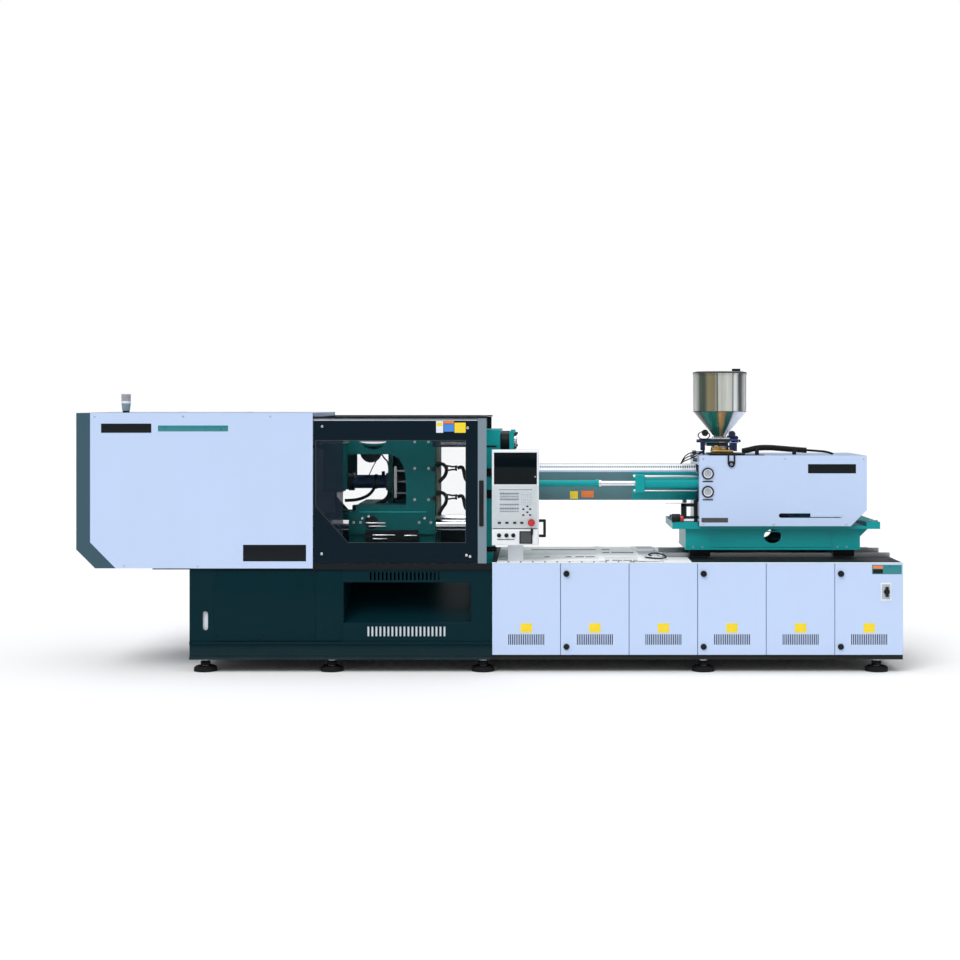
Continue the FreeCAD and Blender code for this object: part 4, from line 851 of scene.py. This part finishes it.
# ---- control box --------------------------------------------------------------------------------
def control_box_parts():
    """Screen, key plate and keys of the control box."""
    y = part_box("control_box")[0].y
    blocks("screen_bezel", [((0.036, y + 0.001, 1.598), (0.398, y + 0.006, 1.866))], "screen_black",
           "control_box", 0.002)
    blocks("screen_glass", [((0.060, y - 0.001, 1.622), (0.374, y + 0.003, 1.848))], "screen_black",
           "control_box", 0.001)
    blocks("screen_light", [((0.380, y - 0.0005, 1.658), (0.388, y + 0.002, 1.666))], "pale_plastic", "control_box",
           0.0005)
    blocks("key_plate", [((0.022, y - 0.002, 1.226), (0.404, y, 1.590))], "key_grey", "control_box",
           0.001)
    keys = {"grey_plastic": [], "pale_plastic": [], "black_plastic": [], "dark_grey": []}
    for column in range(12):
        x = 0.080 + column * 0.0238
        keys["dark_grey"].append(((x, y - 0.0035, 1.549), (x + 0.014, y - 0.002, 1.556)))
    for z, tall in ((1.532, 0.024), (1.500, 0.010), (1.482, 0.020), (1.436, 0.017), (1.405, 0.022), (1.374, 0.010)):
        for column in range(8):
            x = 0.085 + column * 0.0205
            keys["grey_plastic"].append(((x, y - 0.005, z - tall), (x + 0.0165, y - 0.002, z)))
            keys["dark_grey"].append(((x + 0.003, y - 0.0056, z - tall * 0.7),
                                      (x + 0.0135, y - 0.005, z - tall * 0.3)))
    for row in range(5):
        for column in range(3):
            x, z = 0.268 + column * 0.034, 1.528 - row * 0.022
            keys["grey_plastic"].append(((x, y - 0.005, z - 0.016), (x + 0.020, y - 0.002, z)))
            keys["pale_plastic"].append(((x + 0.004, y - 0.0056, z - 0.012), (x + 0.016, y - 0.005, z - 0.004)))
    for x, z in ((0.318, 1.412), (0.284, 1.388), (0.342, 1.388), (0.318, 1.362), (0.284, 1.338), (0.342, 1.338)):
        keys["black_plastic"].append(((x - 0.009, y - 0.005, z - 0.006), (x + 0.009, y - 0.002, z + 0.006)))
    for x in (0.081, 0.1445, 0.211, 0.271):
        keys["black_plastic"].append(((x - 0.013, y - 0.008, 1.264), (x + 0.013, y - 0.002, 1.280)))
    for colour, pairs in keys.items():
        blocks("keys_" + colour, pairs, colour, "control_box", 0.0008)


def switch_panel_parts():
    """Lower plate with selector switches, socket, emergency collar, sleeve and side handle."""
    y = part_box("control_box")[0].y
    blocks("switch_plate", [((0.022, y - 0.003, 1.086), (0.404, y, 1.218))], "panel_paint", "control_box",
           0.002)
    blocks("switch_bar", [((0.061, y - 0.0036, 1.127), (0.206, y - 0.003, 1.134))], "dark_grey", "control_box",
           0.0002)
    blocks("plate_gap", [((0.022, y - 0.001, 1.218), (0.404, y, 1.226))], "dark_grey", "control_box",
           0.0002)
    knobs = bmesh.new()
    for x in (0.078, 0.141, 0.199):
        lathe(knobs, (x, y - 0.003, 1.166), "y", [(POLE, 0), (0.018, 0), (0.018, -0.006), (0.014, -0.010),
                                                 (0.013, -0.024), (POLE, -0.024)], 24)
        block(knobs, (x - 0.004, y - 0.029, 1.154), (x + 0.004, y - 0.015, 1.178), 0.001)
    block(knobs, (0.251, y - 0.010, 1.095), (0.361, y - 0.003, 1.202), 0.004)
    block(knobs, (0.346, y - 0.020, 1.170), (0.366, y - 0.003, 1.222), 0.004)
    piece("selector_switches", knobs, "black_plastic", "control_box")
    blocks("socket_face", [((0.260, y - 0.013, 1.104), (0.352, y - 0.010, 1.193))], "dark_grey", "control_box",
           0.002)
    collar = bmesh.new()
    ring(collar, (0.352, y - 0.004, 1.273), "y", 0.0305, 0.0262, 0.005)
    piece("emergency_collar", collar, "red_plastic", "control_box")
    blocks("arm_sleeve", [((0.150, -0.686, 0.9385), (0.282, -0.554, 1.076))], "panel_paint", "machine",
           0.004)
    grip = [((x0, -0.764, z0), (x1, -0.736, z1)) for x0, x1, z0, z1 in (
        (0.452, 0.4755, 1.146, 1.298), (0.414, 0.470, 1.274, 1.2985), (0.414, 0.470, 1.1455, 1.170))]
    blocks("box_handle_sleeve", grip, "black_plastic", "control_box", 0.006)


# ---- bed and doors ------------------------------------------------------------------------------
def door_parts():
    """Plain fields, gaskets and lower locks of the doors, and the main switch's plates."""
    for number in range(1, 7):
        name = "door_%d" % number
        low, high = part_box(name)
        middle = (low.x + high.x) / 2
        field = [((middle - 0.048, low.y - 0.0012, 0.340), (middle + 0.048, low.y, 0.420))]
        blocks(name + "_field", field, "yellow_plastic", name, PRINT)
        gasket = [((low.x + 0.004, high.y - 0.001, low.z + 0.004), (low.x + 0.014, high.y + 0.0015, high.z - 0.004)),
                  ((high.x - 0.014, high.y - 0.001, low.z + 0.004),
                   (high.x - 0.004, high.y + 0.0015, high.z - 0.004))]
        blocks(name + "_gasket", gasket, "black_rubber", name, 0.0005)
        if number % 2 == 0:
            lock = bmesh.new()
            x, z = low.x + 0.048, 0.221
            lathe(lock, (x, low.y, z), "y", [(POLE, 0), (0.026, 0), (0.026, -0.008), (0.020, -0.018),
                                            (POLE, -0.018)], 24)
            block(lock, (x - 0.004, low.y - 0.024, z - 0.020), (x + 0.004, low.y - 0.016, z + 0.020), 0.001)
            piece(name + "_lower_lock", lock, "black_plastic", name)
    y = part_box("door_6")[0].y
    for part, finish, slot, (x0, x1), (z0, z1), (near, far), edge in (
            ("rating_field", "teal_plastic", "black_plastic", (3.238, 3.490), (0.836, 0.915), (0.0015, 0), 0.0004),
            ("rating_field_orange", "orange_plastic", "black_plastic", (3.246, 3.330), (0.884, 0.908),
             (0.0022, 0.001), 0.0002),
            ("rating_field_dark", "black_plastic", "black_plastic", (3.246, 3.330), (0.842, 0.878),
             (0.0022, 0.001), 0.0002),
            ("breaker_plate", "pale_plastic", "box_paint", (3.311, 3.403), (0.609, 0.765), (0.003, 0), 0.002),
            ("breaker_window", "grey_plastic", "box_paint", (3.322, 3.392), (0.625, 0.751), (0.0045, 0.002), 0.001)):
        blocks(part, [((x0, y - near, z0), (x1, y - far, z1))], finish, "door_6", edge)


def bed_trim():
    """Pale cover sheets with rubber strips on the slots that also carry the slots' painted shade, edge angles, deck
    plates and the cable loop on the bed top.
    """
    low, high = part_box("bed_covers")
    bed_low, bed_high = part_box("injection_bed")
    top, deck = high.z, bed_high.z
    rows = (-0.74, -0.672, -0.334, 0.098, 0.396, 0.74)
    sheets = [((low.x, near + 0.003, top), (1.455, far - 0.003, top + 0.003)) for near, far in zip(rows, rows[1:])]
    sheets += [((x, -0.74, top + 0.003), (x + 0.05, 0.74, top + 0.0075)) for x in (0.932, 1.27)]
    slots = {-0.672: ((0.957, 1.017), (1.042, 1.126), (1.137, 1.210), (1.223, 1.257)),
             -0.334: ((0.464, 0.508), (0.650, 0.699), (0.736, 0.809), (0.822, 0.902)),
             0.098: ((0.984, 1.048), (1.067, 1.264)), 0.396: ((0.344, 0.930), (0.985, 1.06))}
    # black strips on top of the sheets over the slots: the slots' rubber seals, and painted shade of the slot openings
    seals_and_shade = [((x0, y - 0.016, top + 0.003), (x1, y + 0.016, top + 0.006))
             for y, spans in slots.items() for x0, x1 in spans]
    blocks("bed_sheets", sheets, "pale_sheet", "machine", 0.0008)
    blocks("bed_seals_and_slot_shade", seals_and_shade, "black_rubber", "machine", 0)
    edge = [((bed_low.x, side * 0.786 - 0.008, deck - 0.002), (bed_high.x, side * 0.786 + 0.008, deck + 0.004))
            for side in SIDES]
    blocks("bed_edge_strips", edge, "pale_sheet", "machine", 0.001)
    blocks("bed_end_plate",
           [((1.300, -0.20, top + 0.003), (1.470, 0.20, top + 0.008)),
            ((1.30, 0.30, top), (1.47, 0.74, top + 0.006))],
           "zinc_sheet", "machine", 0.001)
    spans = ((-0.745, -0.29), (0.29, 0.745), (-0.215, 0.215))
    blocks("bed_landing", [((1.482, y0, deck), (1.715, y1, deck + 0.006)) for y0, y1 in spans], "pale_sheet",
           "machine",
           0.001)
    plates = [((1.720, y0, deck), (3.48, y1, deck + 0.006)) for y0, y1 in spans]
    blocks("bed_deck_plates", plates, "black_paint", "machine", 0.001)
    hose("bed_cable_loop",
         [(1.40, -0.30, top + 0.012), (1.36, -0.35, top + 0.02), (1.40, -0.42, top + 0.045),
          (1.46, -0.46, top + 0.045), (1.53, -0.50, top + 0.02), (1.48, -0.60, top + 0.012),
          (1.38, -0.56, top + 0.012), (1.34, -0.44, top + 0.012)],
         sizes().cable * 1.5, "machine")


def feet_parts():
    """Nuts and washers on the levelling feet."""
    bm = bmesh.new()
    for x in (-2.431, -1.351, -0.060, 1.819, 3.298):
        for y in (-0.68, 0.68):
            drum(bm, (x, y, 0.100), "z", 0.036, 0.018, 6)
            drum(bm, (x, y, 0.050), "z", 0.032, 0.008, 24)
    piece("feet_nuts", bm, "machined_steel", "machine")


# ---- pieces of the injection end ----------------------------------------------------------------
def carriage_parts():
    """Bolts, bearing covers, plug and bracket on the carriage."""
    bm = bmesh.new()
    for side in SIDES:
        for x in (1.76, 1.84, 3.02, 3.10):
            drum(bm, (x, side * 0.356, 1.026), "y", 0.011, 0.012, 6)
        for x in (1.62, 1.70, 3.30, 3.36):
            drum(bm, (x, side * 0.37, 1.258), "z", 0.012, 0.016, 6)
    piece("carriage_bolts", bm, "machined_steel", "carriage")
    caps = []
    for side in SIDES:
        y0, y1 = both_depths(side, 0.303, 0.318)
        caps += [((1.735, y0, 0.944), (1.915, y1, 1.012)), ((2.995, y0, 0.944), (3.175, y1, 1.012))]
    blocks("bearing_covers", caps, "black_paint", "carriage", 0.003)
    knob = bmesh.new()
    drum(knob, (1.609, -0.385, 1.286), "x", 0.034, 0.075, 28, bevel=0.006)
    drum(knob, (1.590, -0.385, 1.258), "z", 0.016, 0.03, 20)
    piece("carriage_plug", knob, "black_plastic", "carriage")
    band = bmesh.new()
    drum(band, (1.660, -0.385, 1.281), "x", 0.029, 0.026, 28)
    piece("carriage_plug_band", band, "red_plastic", "carriage")
    blocks("carriage_bracket",
           [((1.674, -0.400, 1.286), (1.806, -0.380, 1.302)), ((1.653, -0.400, 1.298), (1.690, -0.380, 1.412)),
            ((1.653, -0.400, 1.384), (1.775, -0.380, 1.412)), ((1.765, -0.400, 1.250), (1.800, -0.360, 1.440))],
           "black_paint", "carriage", 0.003)
    blocks("carriage_bar",
           [((1.676, -0.398, 1.258), (1.806, -0.376, 1.277)), ((1.524, -0.306, 1.404), (1.778, -0.298, 1.412))],
           "pale_plastic", "carriage", 0.002)
    rims = bmesh.new()
    for side in SIDES:
        y0, y1 = both_depths(side, 0.350, 0.354)
        cut_plate(rims, [(1.93, 1.030), (2.98, 1.030), (2.98, 1.170), (1.93, 1.170)],
                  [(1.94, 1.040), (2.97, 1.040), (2.97, 1.160), (1.94, 1.160)], y0, y1)
    piece("carriage_side_rims", rims, "casting_paint", "carriage")


def cover_fittings():
    """Gauges, plain bars, corner screws, strap and hose on the injection cover."""
    low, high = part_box("injection_cover")
    y, top = low.y, high.z
    rims, glass, dials, marks = bmesh.new(), bmesh.new(), bmesh.new(), bmesh.new()
    for z in (1.674, 1.516):
        x = 1.881
        lathe(rims, (x, y, z), "y", [(0.040, 0), (0.052, 0), (0.052, -0.014), (0.048, -0.018), (0.040, -0.018)], 40)
        ring(glass, (x, y - 0.006, z), "y", 0.0405, 0.030, 0.012, 40)
        drum(dials, (x, y - 0.005, z), "y", 0.031, 0.010, 40)
        block(marks, (x - 0.0015, y - 0.0125, z - 0.006), (x + 0.0015, y - 0.0105, z + 0.024), 0)
        for k in range(11):
            angle = math.radians(-135 + k * 27)
            tick = Vector((x + 0.026 * math.sin(angle), y - 0.0105, z + 0.026 * math.cos(angle)))
            block(marks, tick - Vector((0.0012, 0.001, 0.003)), tick + Vector((0.0012, 0.0005, 0.003)), 0)
        block(marks, (x - 0.045, y - 0.003, z - 0.074), (x + 0.045, y, z - 0.064), 0)
    piece("gauge_rims", rims, "black_plastic", "carriage")
    piece("gauge_rings", glass, "pale_plastic", "carriage")
    piece("gauge_dials", dials, "grey_plastic", "carriage")
    piece("gauge_marks", marks, "black_plastic", "carriage")
    blocks("injection_cover_bar", [((2.750, y - 0.0012, 1.676), (3.166, y, 1.756))], "black_paint", "carriage",
           PRINT)
    blocks("injection_cover_plate", [((1.826, y - 0.0015, 1.250), (2.056, y, 1.290))], "dark_grey", "carriage",
           PRINT)
    blocks("injection_cover_flap", [((2.770, y - 0.003, 1.297), (3.052, y, 1.334))], "cover_paint", "carriage",
           0.0008)
    strap = bmesh.new()
    block(strap, (2.052, y - 0.014, 1.752), (2.066, y, 1.845), 0.004)
    block(strap, (2.104, y - 0.014, 1.752), (2.118, y, 1.845), 0.004)
    lathe(strap, (2.085, y - 0.007, 1.755), "y", [(0.013, -0.007), (0.028, -0.007), (0.028, 0.007), (0.013, 0.007)],
          24)
    piece("cover_strap", strap, "black_plastic", "carriage")
    blocks("cover_top_plate",
           [((1.900, -0.452, top + 0.002), (2.205, -0.085, top + 0.018)),
            ((2.19, -0.40, top + 0.001), (2.38, -0.36, top + 0.007))],
           "black_paint", "carriage", 0.004)
    screws = bmesh.new()
    for x, z in ((1.84, 1.805), (2.55, 1.805), (3.23, 1.805), (1.84, 1.240), (2.45, 1.240), (3.08, 1.240)):
        for side in SIDES:
            socket_screw(screws, (x, side * abs(y), z), side, sizes().screw)
    piece("injection_cover_screws", screws, "bright_screw", "carriage")
    route = [(2.215, -0.14, top + 0.030), (2.27, -0.14, top + 0.040), (2.34, -0.14, top + 0.058),
             (2.44, -0.14, top + 0.063),
             (2.56, -0.14, top + 0.054), (2.68, -0.14, top + 0.044), (2.78, -0.14, top + 0.038)]
    hose("cover_hose", route, 0.022, "carriage", 6)
    hose("cover_hose_tail",
         [(2.76, -0.14, top + 0.040), (2.86, -0.14, top + 0.034), (2.98, -0.14, top + 0.024),
          (3.02, -0.14, top + 0.002)],
         0.010, "carriage")
    rings = bmesh.new()
    for place in line_points("cover_hose_line", route):
        ring(rings, place, "x", 0.0255, 0.021, 0.005, 16)
    piece("cover_hose_ribs", rings, "black_rubber", "carriage")
    blocks("cover_hose_clamps",
           [((2.33, -0.17, top), (2.36, -0.11, top + 0.060)), ((2.66, -0.17, top), (2.69, -0.11, top + 0.044))],
           "black_plastic", "carriage", 0.004)


def guard_parts():
    """Perforated cover, lips, rear skirt and plain fields of the barrel guard."""
    low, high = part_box("barrel_guard")
    bm = bmesh.new()
    outer = [(-0.1705, 1.6845), (-0.1385, 1.7425), (0.1385, 1.7425), (0.1705, 1.6845)]
    inner = [(0.1685, 1.6845), (0.1365, 1.7405), (-0.1365, 1.7405), (-0.1685, 1.6845)]
    crown = bm.faces.new([bm.verts.new((low.x, y, z)) for y, z in outer + inner])
    thicken(bm, [crown], (high.x - 0.002 - low.x, 0, 0))
    piece("perforated_cover", bm, "perforated_sheet", "carriage")
    lips = [((low.x, side * 0.166 - 0.004, 1.676), (high.x, side * 0.166 + 0.004, 1.692))
            for side in SIDES]
    blocks("guard_lips", lips, "cover_paint", "carriage", 0.002)
    skirt = []
    for side in SIDES:
        y0, y1 = both_depths(side, 0.168, 0.171)
        skirt.append(((1.240, y0, 1.432), (1.800, y1, 1.676)))
    blocks("guard_rear_skirt", skirt, "casting_paint", "carriage", 0.001)
    for colour, (x0, x1), (z0, z1) in (("yellow", (0.69, 0.76), (1.440, 1.506)),
                                       ("orange", (0.79, 0.90), (1.452, 1.510))):
        blocks("guard_field_" + colour, [((x0, low.y - 0.0012, z0), (x1, low.y, z1))], colour + "_plastic",
               "carriage", PRINT)


def pull_rod_parts():
    """Sleeves and caps on the pull rods, and tie rods of the carriage cylinders."""
    sleeves = bmesh.new()
    start, end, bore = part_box("pull_rods")[0].x, 0.93, 0.0225
    for side in SIDES:
        ring(sleeves, ((start + end) / 2, side * PULL_ROD_Y, PULL_ROD_Z), "x", 0.029, bore, end - start)
        ring(sleeves, (0.925, side * PULL_ROD_Y, PULL_ROD_Z), "x", 0.036, bore, 0.03)
    piece("pull_rod_sleeves", sleeves, "casting_paint", "machine")
    caps = bmesh.new()
    for side in SIDES:
        ring(caps, (0.952, side * PULL_ROD_Y, PULL_ROD_Z), "x", 0.030, bore, 0.02)
    piece("pull_rod_caps", caps, "bright_screw", "machine")
    ties = bmesh.new()
    for side in SIDES:
        for dz in (-0.062, 0.062):
            for dy in (-0.048, 0.048):
                drum(ties, (1.57, side * PULL_ROD_Y + dy, PULL_ROD_Z + dz), "x", 0.008, 0.50, 12)
                hex_bolt(ties, (1.258, side * PULL_ROD_Y + dy, PULL_ROD_Z + dz), "x", 0.013, -0.014)
    piece("cylinder_tie_rods", ties, "machined_steel", "carriage")


def throat_parts():
    """Clamp, collar, dark flange pieces, cables and loop round the feed throat."""
    bm = bmesh.new()
    drum(bm, (2.03, 0, 1.868), "z", 0.080, 0.040, 32)
    drum(bm, (1.985, -0.115, 1.885), "y", 0.026, 0.09, 20)
    block(bm, (1.935, -0.30, 1.850), (2.120, -0.10, 1.872), 0.004)
    piece("throat_collar", bm, "brass", "carriage")
    dark = bmesh.new()
    for y in (-0.150, 0.138):
        block(dark, (1.860, y, 1.941), (2.110, y + 0.012, 1.967), 0.003)
    drum(dark, (1.835, -0.145, 1.951), "x", 0.014, 0.050, 16)
    drum(dark, (2.190, -0.145, 1.951), "x", 0.012, 0.020, 16)
    block(dark, (1.845, -0.160, 1.868), (1.885, -0.120, 1.950), 0.004)
    block(dark, (1.862, -0.155, 1.828), (1.882, -0.135, 1.870), 0.003)
    block(dark, (1.905, -0.120, 1.905), (2.090, 0.120, 1.935), 0.003)
    drum(dark, (2.128, -0.110, 2.010), "y", 0.030, 0.050, 20, bevel=0.008)
    drum(dark, (2.165, -0.110, 1.978), "y", 0.018, 0.044, 16, bevel=0.006)
    block(dark, (2.085, -0.125, 1.955), (2.150, -0.085, 2.000), 0.008)
    piece("throat_fittings", dark, "screen_navy", "carriage")
    blocks("shutoff_grip_top", [((2.110, -0.150, 1.9325), (2.182, -0.110, 1.966))], "grip_blue", "hopper_shutoff",
           0.005)
    loop = bmesh.new()
    lathe(loop, (1.875, -0.150, 2.000), "y", [(0.046, -0.005), (0.056, -0.005), (0.056, 0.005), (0.046, 0.005)], 32)
    bmesh.ops.scale(loop, vec=(1.0, 1.0, 0.66), space=Matrix.Translation((-1.875, 0.150, -2.0)), verts=loop.verts[:])
    drum(loop, (1.885, -0.150, 2.022), "y", 0.030, 0.012, 24)
    piece("throat_loop", loop, "black_plastic", "carriage")
    for k, y in enumerate((-0.22, -0.20, -0.18)):
        hose("throat_cable_%d" % (k + 1),
             [(1.86, y, 1.86 - 0.004 * k), (1.80, y, 1.855 - 0.020 * k), (1.74, y, 1.846 - 0.028 * k),
              (1.69, y, 1.81 - 0.02 * k), (1.665, y, 1.75)],
             0.005, "carriage")
    lumps = bmesh.new()
    for x, z in ((1.785, 1.852), (1.770, 1.815), (1.790, 1.786)):
        drum(lumps, (x, -0.20, z), "x", 0.018, 0.034, 10)
    piece("throat_connectors", lumps, "dark_grey", "carriage")


def hopper_parts():
    """Clip, seams, bands and flange bolts of the hopper."""
    low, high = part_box("hopper_lid")
    x = (low.x + high.x) / 2
    clip = bmesh.new()
    block(clip, (2.142, -0.030, high.z - 0.030), (2.212, 0.030, high.z), 0.003)
    block(clip, (2.200, -0.060, high.z - 0.052), (2.262, 0.060, high.z - 0.030), 0.003)
    piece("lid_clip", clip, "black_plastic", "hopper_lid")
    seams = bmesh.new()
    ring(seams, (x, 0, 2.212), "z", 0.2375, 0.233, 0.005, 64)
    ring(seams, (x, 0, 2.545), "z", 0.2400, 0.233, 0.012, 64)
    piece("hopper_seams", seams, "rim_steel", "carriage")
    white = bmesh.new()
    ring(white, (x, 0, 1.977), "z", 0.070, 0.052, 0.018, 48)
    block(white, (1.935, -0.148, 1.968), (2.105, -0.138, 1.978), 0.001)
    piece("hopper_foot_ring", white, "bright_screw", "carriage")
    bolts = bmesh.new()
    for bx in (-0.14, 0.14):
        for by in (-0.13, 0.13):
            drum(bolts, (x + bx, by, 1.955), "z", 0.011, 0.014, 6)
    piece("hopper_bolts", bolts, "machined_steel", "carriage")


# ---- rear side ----------------------------------------------------------------------------------
def rear_details():
    """Corner screws of the back panels."""
    low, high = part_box("back_panels")
    bm = bmesh.new()
    pitch = (high.x - low.x) / 6
    for i in range(6):
        for dx in (0.04, pitch - 0.045):
            for z in (0.19, 0.89):
                socket_screw(bm, (low.x + i * pitch + dx, high.y, z), REAR, sizes().screw)
    piece("back_panel_screws", bm, "bright_screw", "machine")


# ---- operators ----------------------------------------------------------------------------------
class MOULDER_OT_finishes(bpy.types.Operator):
    """Make the paints, metals and plastics and give every carried-over part its finish"""
    bl_idname = "moulder.finishes"
    bl_label = "Finishes"

    def execute(self, context):
        make_materials(context.scene.moulder_colours)
        paint_nodes()
        return {"FINISHED"}


class MOULDER_OT_clamp_fittings(bpy.types.Operator):
    """Add panels, plain bars, beacon and screws to the clamp base and covers"""
    bl_idname = "moulder.clamp_fittings"
    bl_label = "Clamp covers"

    def execute(self, context):
        base_panels()
        cover_marks()
        beacon()
        return {"FINISHED"}


class MOULDER_OT_gate_fittings(bpy.types.Operator):
    """Add screws, grip, strip, fields and panes to the sliding gates"""
    bl_idname = "moulder.gate_fittings"
    bl_label = "Gates"

    def execute(self, context):
        front_gate_parts()
        rear_gate_parts()
        return {"FINISHED"}


class MOULDER_OT_platen_fittings(bpy.types.Operator):
    """Add bolts, ports and hoses to the platens and ejector"""
    bl_idname = "moulder.platen_fittings"
    bl_label = "Platens"

    def execute(self, context):
        platen_bolts()
        moving_platen_fittings()
        ejector_fittings()
        mould_hoses()
        return {"FINISHED"}


class MOULDER_OT_control_fittings(bpy.types.Operator):
    """Add screen, keys, switches and socket to the control box"""
    bl_idname = "moulder.control_fittings"
    bl_label = "Control box"

    def execute(self, context):
        control_box_parts()
        switch_panel_parts()
        return {"FINISHED"}


class MOULDER_OT_bed_fittings(bpy.types.Operator):
    """Add fields, locks, gaskets, deck plates and feet nuts to the bed"""
    bl_idname = "moulder.bed_fittings"
    bl_label = "Bed and doors"

    def execute(self, context):
        door_parts()
        bed_trim()
        feet_parts()
        rear_details()
        return {"FINISHED"}


class MOULDER_OT_injection_fittings(bpy.types.Operator):
    """Add gauges, hoses, sleeves, bolts and hopper details to the injection unit"""
    bl_idname = "moulder.injection_fittings"
    bl_label = "Injection unit"

    def execute(self, context):
        carriage_parts()
        cover_fittings()
        guard_parts()
        pull_rod_parts()
        throat_parts()
        hopper_parts()
        return {"FINISHED"}


class MOULDER_OT_stage(bpy.types.Operator):
    """Lay the floor, hang the lights and set the camera"""
    bl_idname = "moulder.stage"
    bl_label = "Stage"

    def execute(self, context):
        make_stage(context.scene)
        return {"FINISHED"}


def soft_sun(name, strength, elevation, azimuth, spread):
    """Very soft distant light; azimuth is counted from the front, towards the left."""
    light = bpy.data.lights.new(name, "SUN")
    light.energy = strength
    light.angle = math.radians(spread)
    lamp = bpy.data.objects.new(name, light)
    up, side = math.radians(elevation), math.radians(azimuth)
    towards = Vector((-math.cos(up) * math.sin(side), -math.cos(up) * math.cos(side), math.sin(up)))
    lamp.rotation_mode = "QUATERNION"
    lamp.rotation_quaternion = (-towards).to_track_quat("-Z", "Y")
    bpy.context.scene.collection.objects.link(lamp)


def studio_world(scene):
    """White where seen straight, soft light on the machine, and in gloss a dark horizon under a bright ceiling."""
    world = bpy.data.worlds.new("studio")
    scene.world = world
    world.use_nodes = True
    tree = world.node_tree
    seen = tree.nodes["Background"]
    seen.inputs["Color"].default_value = (1, 1, 1, 1)
    path = add_node(tree, "ShaderNodeLightPath")
    height = add_node(tree, "ShaderNodeSeparateXYZ",
                      {"Vector": tree.nodes.new("ShaderNodeTexCoord").outputs["Generated"]})
    ceiling = add_node(tree, "ShaderNodeMapRange", {"Value": height.outputs["Z"], "From Min": 0.12, "From Max": 0.62,
                                                    "To Min": 0.07, "To Max": 1.25}, interpolation_type="SMOOTHSTEP")
    gloss = maths(tree, "MULTIPLY", path.outputs["Is Glossy Ray"],
                  maths(tree, "SUBTRACT", ceiling.outputs["Result"], 0.5))
    lit = add_node(tree, "ShaderNodeBackground",
                   {"Color": (0.95, 0.97, 1.0, 1), "Strength": maths(tree, "ADD", gloss, 0.5)})
    bounces = maths(tree, "ADD", path.outputs["Diffuse Depth"], path.outputs["Glossy Depth"])
    blend = add_node(tree, "ShaderNodeMixShader", {0: maths(tree, "LESS_THAN", bounces, 0.5)})
    tree.links.new(lit.outputs[0], blend.inputs[1])
    tree.links.new(seen.outputs[0], blend.inputs[2])
    tree.links.new(blend.outputs[0], tree.nodes["World Output"].inputs["Surface"])


def make_stage(scene):
    """Floor, world, three lights and the camera."""
    bm = bmesh.new()
    bmesh.ops.create_grid(bm, x_segments=1, y_segments=1, size=150.0)
    mesh = bpy.data.meshes.new("floor")
    bm.to_mesh(mesh)
    bm.free()
    start_material("floor_paint", Base_Color=(0.93, 0.93, 0.93, 1), Roughness=0.9, Specular_IOR_Level=0.1)
    floor = bpy.data.objects.new("floor", mesh)
    mesh.materials.append(MATERIALS["floor_paint"])
    scene.collection.objects.link(floor)
    studio_world(scene)
    soft_sun("key", 1.7, 48.0, 28.0, 35.0)
    soft_sun("fill", 0.35, 30.0, -45.0, 60.0)
    soft_sun("top", 0.55, 85.0, 180.0, 60.0)
    scene.view_settings.view_transform = "Standard"
    place_camera(scene)


def place_camera(scene):
    """Level camera, square to the operator's side."""
    camera = bpy.data.cameras.new("camera")
    camera.lens, camera.sensor_width = 65.06, 36.0
    camera.shift_x, camera.shift_y = -0.0625, -0.08125
    camera.clip_end = 400.0
    eye = bpy.data.objects.new("camera", camera)
    eye.location = (0.425, -15.5, 2.295)
    eye.rotation_euler = (math.radians(90.0), 0.0, 0.0)
    scene.collection.objects.link(eye)
    scene.camera = eye


STEPS = (MOULDER_OT_finishes, MOULDER_OT_clamp_fittings, MOULDER_OT_gate_fittings, MOULDER_OT_platen_fittings,
         MOULDER_OT_control_fittings, MOULDER_OT_bed_fittings, MOULDER_OT_injection_fittings, MOULDER_OT_stage)


class MOULDER_PT_panel(bpy.types.Panel):
    """Lists the machine's settings and steps"""
    bl_label = "Moulding machine"
    bl_idname = "MOULDER_PT_panel"
    bl_space_type = "VIEW_3D"
    bl_region_type = "UI"
    bl_category = "Moulding machine"

    def draw(self, context):
        for settings in (context.scene.moulder_colours, context.scene.moulder_sizes):
            for key in settings.__annotations__:
                self.layout.prop(settings, key)
        for step in STEPS:
            self.layout.operator(step.bl_idname)


CLASSES = (MachineColours, MachineSizes) + STEPS + (MOULDER_PT_panel,)


def register():
    """Adds the classes and the scene's settings."""
    for cls in CLASSES:
        bpy.utils.register_class(cls)
    bpy.types.Scene.moulder_colours = PointerProperty(type=MachineColours)
    bpy.types.Scene.moulder_sizes = PointerProperty(type=MachineSizes)


def unregister():
    """Takes the classes and the settings away."""
    del bpy.types.Scene.moulder_sizes
    del bpy.types.Scene.moulder_colours
    for cls in reversed(CLASSES):
        bpy.utils.unregister_class(cls)


def main():
    """Registers the add-on and runs its steps."""
    register()
    for step in STEPS:
        area, name = step.bl_idname.split(".")
        getattr(getattr(bpy.ops, area), name)()


if __name__ == "__main__":
    main()
